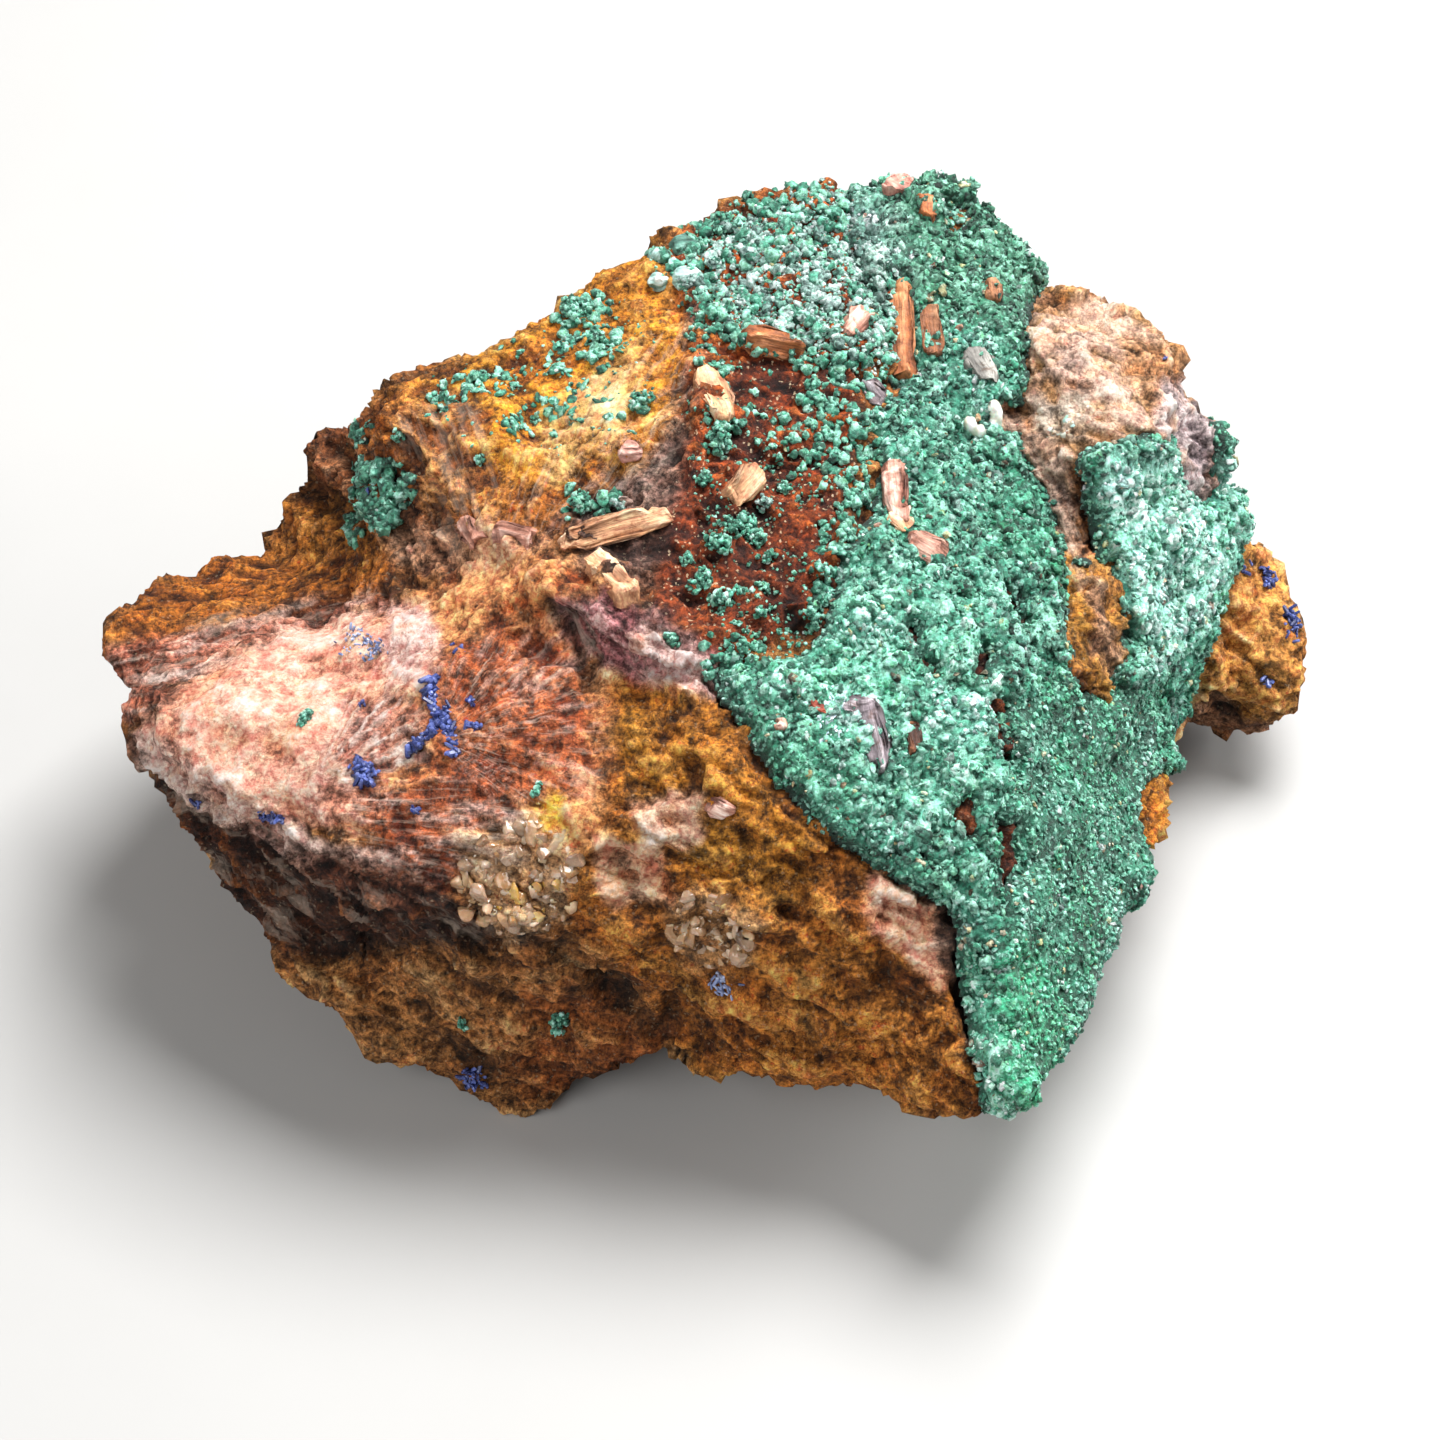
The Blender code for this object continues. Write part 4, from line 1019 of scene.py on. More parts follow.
@dataclass(frozen=True)
class AzuriteFinish:
    """Deep blue, glassy crystals with paler, dusty patches."""

    name: str = "azurite_blue"

    def material(self) -> bpy.types.Material:
        """Wire the finish: noise runs the tone from near-black blue to dusty blue.

        Returns:
            The material.
        """
        bench = Bench(self.name)
        where = bench.place()
        soft = bench.noise(where, 1400.0, 5, 0.65)
        fine = bench.noise(where, 6000.0, 3, 0.6)
        tone = bench.layer(Layer.TONE).outputs["Color"]
        colour = bench.shade(tone, 0.75, soft, 0.3, 0.7, 0.2, 0.82)
        dust = bench.span(fine, 0.58, 0.74, 0.0, 0.4)
        colour = bench.blend("MIX", dust, colour, (0.27, 0.31, 0.55, 1))
        return bench.done(colour, bench.span(fine, 0.35, 0.7, 0.16, 0.6),
                          bench.bump(fine, 0.06, 0.7), Coat_Weight=0.2)


@dataclass(frozen=True)
class SparFinish:
    """Peach and tan spar: cleavage striae along the grain record, rusty in its cracks."""

    name: str = "peach_spar"

    def material(self) -> bpy.types.Material:
        """Wire the finish: striae and noise shade the tone, thin rust fills the lows.

        Returns:
            The material.
        """
        bench = Bench(self.name)
        where = bench.place()
        grain = bench.layer(Layer.GRAIN).outputs["Vector"]
        striae = bench.noise(grain, 1.0, 5, 0.6, 0.15)
        soft = bench.noise(where, 1100.0, 7, 0.68)
        fine = bench.noise(where, 3600.0, 4, 0.65)
        tone = bench.layer(Layer.TONE).outputs["Color"]
        colour = bench.shade(tone, 0.7, striae, 0.32, 0.68, 0.16, 0.84)
        colour = bench.shade(colour, 0.6, soft, 0.3, 0.7, 0.2, 0.8)
        rust = bench.span(soft, 0.34, 0.46, 0.6, 0.0)
        colour = bench.blend("MULTIPLY", rust, colour, (0.48, 0.2, 0.08, 1))
        relief = bench.bump(fine, 0.1, 0.8, bench.bump(striae, 0.24, 0.9))
        return bench.done(colour, bench.span(fine, 0.3, 0.7, 0.4, 0.85), relief)


@dataclass(frozen=True)
class QuartzFinish:
    """Cloudy quartz: glossy grains, grey to straw yellow, with veils inside."""

    name: str = "cloudy_quartz"

    def material(self) -> bpy.types.Material:
        """Wire the finish: noise clouds the tone under a clear coat.

        Returns:
            The material.
        """
        bench = Bench(self.name)
        where = bench.place()
        cloud = bench.noise(where, 900.0, 5, 0.6)
        fine = bench.noise(where, 3200.0, 3, 0.6)
        tone = bench.layer(Layer.TONE).outputs["Color"]
        colour = bench.shade(tone, 0.7, cloud, 0.3, 0.7, 0.24, 0.8)
        return bench.done(colour, bench.span(fine, 0.35, 0.7, 0.08, 0.4),
                          bench.bump(fine, 0.05, 0.5), Subsurface_Weight=0.25,
                          Subsurface_Scale=0.0008, Coat_Weight=0.5, Coat_Roughness=0.12)


@dataclass
class Surface:
    """Points in metres, the triangles between them, and the outward normal at each point."""

    points: Array
    triangles: Array
    normals: Array

    @classmethod
    def of(cls, points: Array, triangles: Array) -> "Surface":
        """A surface with its normals: each point's triangles' own normals, summed by area.

        Args:
            points: places in metres, shape (n, 3).
            triangles: point numbers, shape (m, 3).

        Returns:
            The surface.
        """
        corners = points[triangles]
        flat = np.cross(corners[:, 1] - corners[:, 0], corners[:, 2] - corners[:, 0])
        totals = [
            sum(np.bincount(triangles[:, corner], flat[:, axis], len(points))
                for corner in range(3))
            for axis in range(3)
        ]
        return cls(points, triangles, unit(np.stack(totals, axis=-1)))

    @classmethod
    def read(cls, mesh: bpy.types.Mesh) -> "Surface":
        """The points and triangles of a mesh.

        Args:
            mesh: any mesh.

        Returns:
            The surface.
        """
        mesh.calc_loop_triangles()
        points = np.empty(len(mesh.vertices) * 3)
        mesh.vertices.foreach_get("co", points)
        triangles = np.empty(len(mesh.loop_triangles) * 3, dtype=np.int32)
        mesh.loop_triangles.foreach_get("vertices", triangles)
        return cls.of(points.reshape(-1, 3), triangles.reshape(-1, 3))

    def grid(self) -> Array:
        """Grid column and row of every point."""
        return SIGHT.grid(self.points)

    def facing(self) -> Array:
        """How squarely every point is turned to the viewpoint."""
        return SIGHT.facing(self.points, self.normals)

    def tree(self) -> BVHTree:
        """A search tree of the triangles."""
        return BVHTree.FromPolygons(self.points.tolist(), self.triangles.tolist())

    def middles(self) -> Array:
        """The middle of every triangle."""
        return self.points[self.triangles].mean(axis=1)

    def edges(self) -> Array:
        """Every edge once: pairs of point numbers packed into one number to sort them."""
        runs = self.triangles[:, [0, 1, 1, 2, 2, 0]].reshape(-1, 2).astype(np.int64)
        keys = np.unique(runs.min(axis=1) * len(self.points) + runs.max(axis=1))
        return np.stack([keys // len(self.points), keys % len(self.points)], axis=-1)

    def walk(self, start: Array, limit_mm: float) -> Array:
        """Distance along the edges from a set of points, in millimetres.

        Every edge passes on the smaller of its ends' distances plus its own length, again
        and again until the limit is covered.

        Args:
            start: which points are at distance 0.
            limit_mm: where to stop.

        Returns:
            One distance a point, the limit where none is nearer.
        """
        edges = self.edges()
        runs = self.points[edges[:, 0]] - self.points[edges[:, 1]]
        lengths = np.linalg.norm(runs, axis=1) / MM
        gap = np.where(start, 0.0, limit_mm)
        for _ in range(int(limit_mm / np.median(lengths)) + 4):
            np.minimum.at(gap, edges[:, 0], gap[edges[:, 1]] + lengths)
            np.minimum.at(gap, edges[:, 1], gap[edges[:, 0]] + lengths)
        return gap

    def scattered(self, density: Array, dice: np.random.Generator) -> tuple[Array, Array]:
        """Random places on the surface.

        Each triangle gets a Poisson number of places for its area and density; a place is
        a random mix of the corners.

        Args:
            density: how many a square millimetre, one number a triangle.
            dice: the random numbers.

        Returns:
            The places in metres and their normals.
        """
        corners = self.points[self.triangles]
        flat = np.cross(corners[:, 1] - corners[:, 0], corners[:, 2] - corners[:, 0])
        areas = np.linalg.norm(flat, axis=1) / 2 / MM**2
        which = np.repeat(np.arange(len(areas)), dice.poisson(areas * density))
        mix = np.sort(dice.random((len(which), 2)), axis=1)
        weights = np.stack([mix[:, 0], mix[:, 1] - mix[:, 0], 1 - mix[:, 1]], axis=-1)
        places = np.einsum("nk,nkd->nd", weights, corners[which])
        return places, unit(flat[which])


def copied(triangles: Array, copies: int, size: int) -> Array:
    """The triangles of many shapes of one net, laid end to end.

    Args:
        triangles: one shape's point numbers, shape (m, 3).
        copies: how many shapes there are.
        size: how many points each has.

    Returns:
        All their triangles, shape (copies * m, 3).
    """
    step = np.arange(copies)[:, None, None] * size
    return (triangles[None] + step).reshape(-1, 3)


def mesh_of(name: str, points: Array, triangles: Array, smooth: bool = True) -> bpy.types.Mesh:
    """A triangle mesh made in whole arrays.

    Args:
        name: the mesh's name.
        points: places in metres, shape (n, 3).
        triangles: point numbers, shape (m, 3).
        smooth: whether it is shaded smooth.

    Returns:
        The mesh.
    """
    mesh = bpy.data.meshes.new(name)
    mesh.vertices.add(len(points))
    mesh.vertices.foreach_set("co", points.ravel())
    mesh.loops.add(triangles.size)
    mesh.loops.foreach_set("vertex_index", triangles.astype(np.int32).ravel())
    mesh.polygons.add(len(triangles))
    mesh.polygons.foreach_set("loop_start", np.arange(0, triangles.size, 3, dtype=np.int32))
    mesh.update(calc_edges=True)
    mesh.polygons.foreach_set("use_smooth", np.full(len(triangles), smooth))
    return mesh


@dataclass
class Piece:
    """A finished mesh on its way into the scene: its shape, its records and its finish."""

    name: str
    points: Array
    triangles: Array
    tone: Array
    slot: str
    material: bpy.types.Material
    skin: Array | None = None
    grain: Array | None = None
    smooth: bool = True

    def build(self, *nodes: str) -> bpy.types.Object:
        """Make the object, record its tones, and attach it to the body.

        Args:
            nodes: the frame's nodes that it stands for.

        Returns:
            The object.
        """
        mesh = mesh_of(self.name, self.points, self.triangles, self.smooth)
        self.record(mesh, Layer.TONE, "FLOAT_COLOR", self.tone)
        if self.skin is not None:
            self.record(mesh, Layer.SKIN, "FLOAT_COLOR", self.skin)
        if self.grain is not None:
            self.record(mesh, Layer.GRAIN, "FLOAT_VECTOR", self.grain)
        mesh.materials.append(self.material)
        thing = bpy.data.objects.new(self.name, mesh)
        bpy.context.scene.collection.objects.link(thing)
        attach(thing, "root")
        if nodes:
            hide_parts(*nodes)
        log.info("%s: %d triangles", self.name, len(self.triangles))
        return thing

    @staticmethod
    def record(mesh: bpy.types.Mesh, which: Layer, kind: str, rows: Array) -> None:
        """Store one value a point in the mesh, colours with full opacity.

        Args:
            mesh: where it goes.
            which: the record's name.
            kind: FLOAT_COLOR or FLOAT_VECTOR.
            rows: the values, shape (n, 3).
        """
        layer = mesh.attributes.new(which.value, kind, "POINT")
        if kind == "FLOAT_COLOR":
            rows = np.concatenate([rows, np.ones((len(rows), 1))], axis=1)
        field_name = "color" if kind == "FLOAT_COLOR" else "vector"
        layer.data.foreach_set(field_name, rows.astype(np.float32).ravel())


@dataclass(frozen=True)
class Reshaper:
    """Turns a frame node into an even, fine net of triangles."""

    voxel_mm: float
    smoothing: int

    def fine(self, node: bpy.types.Object) -> Surface:
        """A merged copy of the node, remeshed in small even cells and smoothed.

        Args:
            node: the frame's node, which is left alone.

        Returns:
            The fine surface.
        """
        shell = bmesh.new()
        shell.from_mesh(node.data)
        bmesh.ops.remove_doubles(shell, verts=shell.verts, dist=1e-5)
        mesh = bpy.data.meshes.new("shell")
        shell.to_mesh(mesh)
        shell.free()
        thing = bpy.data.objects.new("shell", mesh)
        bpy.context.scene.collection.objects.link(thing)
        cells = thing.modifiers.new("cells", "REMESH")
        cells.mode = "VOXEL"
        cells.voxel_size = self.voxel_mm * MM
        soft = thing.modifiers.new("soft", "SMOOTH")
        soft.factor = 0.6
        soft.iterations = self.smoothing
        return self.taken(thing)

    @staticmethod
    def thinned(surface: Surface, spare: Array, keep: int) -> Surface:
        """Fewer triangles where they are spare.

        Args:
            surface: the fine surface.
            spare: which points may go.
            keep: how many triangles to leave in all.

        Returns:
            The thinned surface.
        """
        mesh = mesh_of("thin", surface.points, surface.triangles)
        thing = bpy.data.objects.new("thin", mesh)
        bpy.context.scene.collection.objects.link(thing)
        group = thing.vertex_groups.new(name="spare")
        group.add(np.nonzero(spare)[0].tolist(), 1.0, "REPLACE")
        fewer = thing.modifiers.new("fewer", "DECIMATE")
        fewer.ratio = min(1.0, keep / len(surface.triangles))
        fewer.vertex_group = "spare"
        fewer.vertex_group_factor = 1000.0
        return Reshaper.taken(thing)

    @staticmethod
    def taken(thing: bpy.types.Object) -> Surface:
        """The surface after the object's modifiers; the object itself is removed.

        Args:
            thing: the object.

        Returns:
            The surface.
        """
        graph = bpy.context.evaluated_depsgraph_get()
        result = thing.evaluated_get(graph)
        surface = Surface.read(result.to_mesh())
        result.to_mesh_clear()
        mesh = thing.data
        bpy.data.objects.remove(thing)
        bpy.data.meshes.remove(mesh)
        return surface


@dataclass(frozen=True)
class Painter:
    """Lays stains over a ground colour, point by point."""

    ground: Tones
    stains: tuple[Stain, ...]
    waver_cells: float = 9.0

    @staticmethod
    def shaded(rows: Array, height: Array) -> Array:
        """Each point's colour: the body colour, run by its height to the pit colour as painted shade in the
        lows or to the crest colour as painted highlight on the highs.

        Args:
            rows: pit, body and crest colours, shape (3, 3) or (n, 3, 3).
            height: relief from about -1 to 1.

        Returns:
            Linear colours, shape (n, 3).
        """
        pit, body, crest = rows[..., 0, :], rows[..., 1, :], rows[..., 2, :]
        # Painted shade below a height of 0.05, painted highlight above it.
        low = smooth_step(0.05, -0.85, height)[:, None]
        high = smooth_step(0.05, 0.95, height)[:, None]
        return body + (pit - body) * low + (crest - body) * high

    def mixed(self, points: Array, seen: Array) -> tuple[Array, Array, Array]:
        """The shades at every point after every stain.

        Each stain's shades are mixed in by its share, times how far the point is seen.

        Args:
            points: places in metres, shape (n, 3).
            seen: 0 where the point is turned away from the viewpoint, to 1.

        Returns:
            Pit, body and crest colours, shape (n, 3, 3), gloss and glitter, one a point.
        """
        grid = SIGHT.grid(points)
        waver = Noise.fractal(points / MM / 1.9, 4, 211, 0.6) * self.waver_cells
        shades = np.tile(self.ground.rows(), (len(points), 1, 1))
        gloss, glitter = np.zeros(len(points)), np.zeros(len(points))
        for stain in self.stains:
            share = stain.share(grid, waver) * seen
            some = np.nonzero(share > 0.002)[0]
            part = share[some]
            shades[some] += (stain.tones.rows() - shades[some]) * part[:, None, None]
            gloss[some] += (stain.gloss - gloss[some]) * part
            glitter[some] += (stain.glitter - glitter[some]) * part
        return shades, gloss, glitter

    def paint(self, points: Array, height: Array, seen: Array) -> tuple[Array, Array, Array]:
        """Colours, gloss and glitter after every stain, with painted shade in the relief's lows and painted
        highlight on its highs.

        Args:
            points: places in metres, shape (n, 3).
            height: relief from about -1 to 1, which a mottle is added to.
            seen: 0 where the point is turned away from the viewpoint, to 1.

        Returns:
            Linear colours, shape (n, 3), gloss and glitter, one each a point.
        """
        shades, gloss, glitter = self.mixed(points, seen)
        mottle = Noise.fractal(points / MM / 1.5, 3, 223) * 0.35
        # The relief height, with a mottle, picks painted shade or painted highlight.
        return self.shaded(shades, height + mottle), gloss, glitter


CRUST_PAINTER = Painter(CRUST_GROUND, CRUST_STAINS, 16.0)


@dataclass(frozen=True)
class CrustZone:
    """Where the crust grows: inside its outline, outside the bare windows, a little around."""

    outline: Outline = CRUST_OUTLINE
    windows: tuple[Outline, ...] = BARE_WINDOWS
    waver_cells: float = 4.0
    drape_mm: float = 5.0
    lowest_mm: float = 8.0
    rim_mm: float = 0.7

    def cover(self, surface: Surface) -> Array:
        """How fully each point is covered, 0 at the rim and outside to 1 well inside.

        The depth inside the outline and outside every window, in cells, is turned to
        millimetres and ramped over the rim. Points turned away count only within the
        drape, walked along the surface from those in view.

        Args:
            surface: the fine surface under the crust.

        Returns:
            One share a point.
        """
        grid = surface.grid()
        mm = surface.points / MM
        waver = Noise.fractal(mm / 1.4, 3, 301) * self.waver_cells
        depth = inside_by(grid, self.outline) + waver
        for window in self.windows:
            depth = np.minimum(depth, waver - inside_by(grid, window))
        inside = (depth > 0) & (mm[:, 2] > self.lowest_mm)
        away = surface.walk(inside & (surface.facing() > 0.02), self.drape_mm)
        drape = smooth_step(self.drape_mm, self.drape_mm - 2.0, away)
        low = smooth_step(self.lowest_mm, self.lowest_mm + 1.5, mm[:, 2])
        rim = smooth_step(0, self.rim_mm, depth * SIGHT.cell_mm)
        return rim * drape * low * inside


@dataclass(frozen=True)
class Rough:
    """How broken one part of the rock is: the depth of four kinds of relief."""

    name: str
    outline: Outline
    soft_mm: float
    ridge_mm: float
    fine_mm: float
    chip_mm: float


ROUGH_GROUND = Rough("ground", (), 0.62, 0.50, 0.10, 0.40)

ROUGH_PARTS = (
    Rough("front_face", path(
        "600,830 585,700 640,650 760,755 900,885 980,1000 1000,1120 880,1110 640,1060 560,900"
    ), 0.36, 0.34, 0.17, 0.44),
    Rough("foot", path(
        "240,895 420,938 600,950 670,1030 560,1105 400,1085 255,950"
    ), 0.42, 0.38, 0.16, 0.42),
    Rough("underside_band", path(
        "110,725 220,795 400,872 560,950 300,960 180,840"
    ), 0.40, 0.45, 0.16, 0.50),
    Rough("fibrous_face", path(
        "380,605 560,530 640,595 600,830 500,905 330,830 350,650"
    ), 0.25, 0.26, 0.08, 0.22),
    Rough("pink_lobe", path(
        "130,738 210,655 370,605 400,640 365,770 330,830 180,765"
    ), 0.26, 0.14, 0.06, 0.10),
    Rough("ledge", path(
        "88,655 145,582 330,535 410,560 372,600 212,660 125,725"
    ), 0.26, 0.26, 0.13, 0.08),
    Rough("golden_slope", path(
        "385,400 580,284 640,240 690,340 640,480 500,525"
    ), 0.28, 0.26, 0.13, 0.05),
    Rough("plateau", path(
        "655,250 800,185 900,165 900,300 850,520 770,650 655,600 690,330"
    ), 0.32, 0.50, 0.20, 0.12),
    Rough("boss", path("1032,300 1150,330 1192,390 1132,442 1060,472"), 0.35, 0.40, 0.14, 0.40),
    Rough("right_lobe", path(
        "1225,525 1302,550 1330,660 1310,755 1170,755"
    ), 0.36, 0.34, 0.14, 0.15),
)

BACK_PATCHES = (
    (0.15, Tones("2c1408", "6e3818", "a8702c")),
    (0.45, Tones("5e3418", "b08048", "dcb884")),
)


@dataclass
class HostRock:
    """The iron-stained rock: the frame's rock remeshed, carved with relief and stained."""

    node: bpy.types.Object
    zone: CrustZone = field(default_factory=CrustZone)
    reshaper: Reshaper = field(default_factory=lambda: Reshaper(0.29, 5))
    finish: RockFinish = field(default_factory=RockFinish)
    triangles: int = 190000
    swell_mm: float = 0.9
    feather: float = 16.0
    strata: Array = field(default_factory=lambda: unit(np.array([0.85, -0.25, -0.42])))
    stretch: float = 0.58
    bend_mm: float = 0.7
    soft_run_mm: float = 3.2
    ridge_run_mm: float = 1.05
    fine_run_mm: float = 0.6
    chip_run_mm: tuple[float, float, float] = (2.2, 1.8, 1.1)
    white_fibre: str = "f6e8de"

    def build(self) -> Surface:
        """Make the rock and give back its finished surface."""
        base = self.thinned(self.reshaper.fine(self.node))
        cover = self.zone.cover(base)
        seen = smooth_step(-0.28, -0.02, base.facing())
        height, depth_mm = self.relief(base, seen)
        fibre, grain, streak, white = self.fibres(base, seen)
        groove = self.grooves(base, seen)
        rise = height * depth_mm * (1 - 0.7 * cover) + streak - groove
        points = base.points + base.normals * (rise * MM)[:, None]
        points[:, 2] = np.maximum(points[:, 2], 0)
        colour, skin = self.colours(base, height, seen, fibre, white, groove)
        Piece("host_rock", points, base.triangles, colour, "matrix", self.finish.material(),
              skin, grain).build("matrix_rock")
        return Surface.of(points, base.triangles)

    def thinned(self, fine: Surface) -> Surface:
        """Spare triangles taken from under the crust and from behind, swollen first by noise.

        Args:
            fine: the fine surface.

        Returns:
            The thinned surface.
        """
        cover = self.zone.cover(fine)
        behind = smooth_step(-0.08, -0.3, fine.facing()) * (1 - cover)
        swell = Noise.fractal(fine.points / MM / 2.3, 4, 90, 0.6) * behind * self.swell_mm
        points = fine.points + fine.normals * (swell * MM)[:, None]
        points[:, 2] = np.maximum(points[:, 2], 0)
        spare = (fine.facing() < -0.12) | (cover > 0.6)
        return self.reshaper.thinned(Surface.of(points, fine.triangles), spare, self.triangles)

    def relief(self, base: Surface, seen: Array) -> tuple[Array, Array]:
        """The broken surface: its height from -1 to 1, and how deep that runs.

        Soft swells, sharp ridges, fine grain and flat chips each have their own depth,
        which the parts of the rock set one after another over the ground's. All four are
        drawn out along the strata: the place along them counts for less by the stretch.
        A crest of the ridged noise, 0 to 1, is spread to -1.35 to 0.85.

        Args:
            base: the surface before carving.
            seen: 0 where a point is turned away, to 1.

        Returns:
            The height, and the depth in millimetres, one each a point.
        """
        mm = base.points / MM
        along = (mm @ self.strata)[:, None] * self.strata
        bent = mm + Noise.shift(mm / 2.4, 31) * self.bend_mm - along * self.stretch
        soft = Noise.fractal(bent / self.soft_run_mm, 4, 40, 0.55)
        ridge = Noise.ridged(bent / self.ridge_run_mm, 3, 50) * 2.2 - 1.35
        fine = Noise.fractal(bent / self.fine_run_mm, 2, 60)
        near, second, owner = Noise.cells(bent / np.array(self.chip_run_mm), 70)
        chip = (owner * 2 - 1) * smooth_step(0, 0.22, second - near)
        depths = self.depths(base.grid(), seen)
        total = (np.stack([soft, ridge, fine, chip], axis=-1) * depths).sum(axis=1)
        depth_mm = depths.sum(axis=1) * 0.62
        return total / depth_mm, depth_mm

    def depths(self, grid: Array, seen: Array) -> Array:
        """The depth of the four kinds of relief at every point.

        Args:
            grid: columns and rows, shape (n, 2).
            seen: 0 where a point is turned away, to 1.

        Returns:
            Depths in millimetres, shape (n, 4).
        """
        rows = np.tile(self.row(ROUGH_GROUND), (len(grid), 1))
        for part in ROUGH_PARTS:
            depth = inside_by(grid, part.outline)
            share = smooth_step(-self.feather, self.feather, depth) * seen
            rows += (self.row(part) - rows) * share[:, None]
        return rows

    @staticmethod
    def row(part: Rough) -> Array:
        """The four depths of one part."""
        return np.array([part.soft_mm, part.ridge_mm, part.fine_mm, part.chip_mm])

    def fibres(self, base: Surface, seen: Array) -> tuple[Array, Array, Array, Array]:
        """Brushes of fibres.

        A point's angle about a fan's centre, times the fan's mean radius, counts fibre
        widths; its distance from the centre counts lengths of nine widths. Noise of the
        two is the streak.

        Args:
            base: the surface before carving.
            seen: 0 where a point is turned away, to 1.

        Returns:
            How far fibres show, their two counts, the streaks' height in millimetres, and
            how white they are.
        """
        grid = base.grid()
        best, rise, white = np.zeros((3, len(grid)))
        grain = base.points / MM * 2.0
        for index, fan in enumerate(FANS):
            away = grid - np.array(fan.centre)
            far = np.linalg.norm(away, axis=1) * SIGHT.cell_mm
            middle = np.mean(np.array(fan.outline), axis=0) - np.array(fan.centre)
            radius = np.linalg.norm(middle) * SIGHT.cell_mm
            turn = np.arctan2(middle[1], middle[0])
            angle = np.arctan2(away[:, 1], away[:, 0]) - turn
            angle = (angle + np.pi) % (2 * np.pi) - np.pi
            counts = np.stack([angle * radius / fan.width_mm, far / fan.width_mm / 9,
                               np.full(len(grid), index * 7.7)], axis=-1)
            edge = smooth_step(-fan.feather, fan.feather, inside_by(grid, fan.outline))
            share = edge * seen * fan.strength
            streak = Noise.fractal(counts, 3, 401 + index)
            rise += streak * fan.relief_mm * share
            white = np.maximum(white, smooth_step(0.12, 0.6, streak) * fan.white * share)
            closer = share > best
            best = np.where(closer, share, best)
            grain = np.where(closer[:, None], counts, grain)
        return best, grain, rise, white

    @staticmethod
    def grooves(base: Surface, seen: Array) -> Array:
        """How deep the cracks run: a bell curve of the gap to each one's line.

        Args:
            base: the surface before carving.
            seen: 0 where a point is turned away, to 1.

        Returns:
            One depth a point, in millimetres.
        """
        grid = base.grid()
        waver = Noise.fractal(base.points / MM / 1.6, 3, 501) * 7
        total = np.zeros(len(grid))
        for crack in CRACKS:
            gap = line_gap(grid, crack.line) + waver
            total += np.exp(-(gap / crack.width) ** 2) * crack.depth_mm * seen
        return total

    def colours(self, base: Surface, height: Array, seen: Array, fibre: Array, white: Array,
                groove: Array) -> tuple[Array, Array]:
        """The rock's colours and skin.

        The stained side is mixed with the plain back. Grooves are darkened as painted shade, white fibres
        lighten it.

        Args:
            base: the surface before carving.
            height: relief from -1 to 1.
            seen: 0 where a point is turned away, to 1.
            fibre: how far fibres show.
            white: how white they are.
            groove: the cracks' depth in millimetres.

        Returns:
            Linear colours, and rows of gloss, fibre and glitter.
        """
        painter = Painter(ROCK_GROUND, ROCK_STAINS)
        # The relief height gives painted shade in the lows and painted highlight on the crests.
        colour, gloss, glitter = painter.paint(base.points, height, seen)
        mm = base.points / MM
        patch = Noise.fractal(mm / 9.0, 4, 601)
        away = 1 - smooth_step(0.0, 0.8, seen)
        for low, tones in BACK_PATCHES:
            share = smooth_step(low - 0.12, low + 0.12, patch) * away
            colour += (Painter.shaded(tones.rows(), height) - colour) * share[:, None]
        # Painted shade: the grooves are darkened.
        colour *= 1 - 0.62 * smooth_step(0.1, 0.9, groove)[:, None]
        colour += (rgb(self.white_fibre) - colour) * white[:, None] * 0.8
        return colour, np.stack([gloss, fibre, glitter], axis=-1)


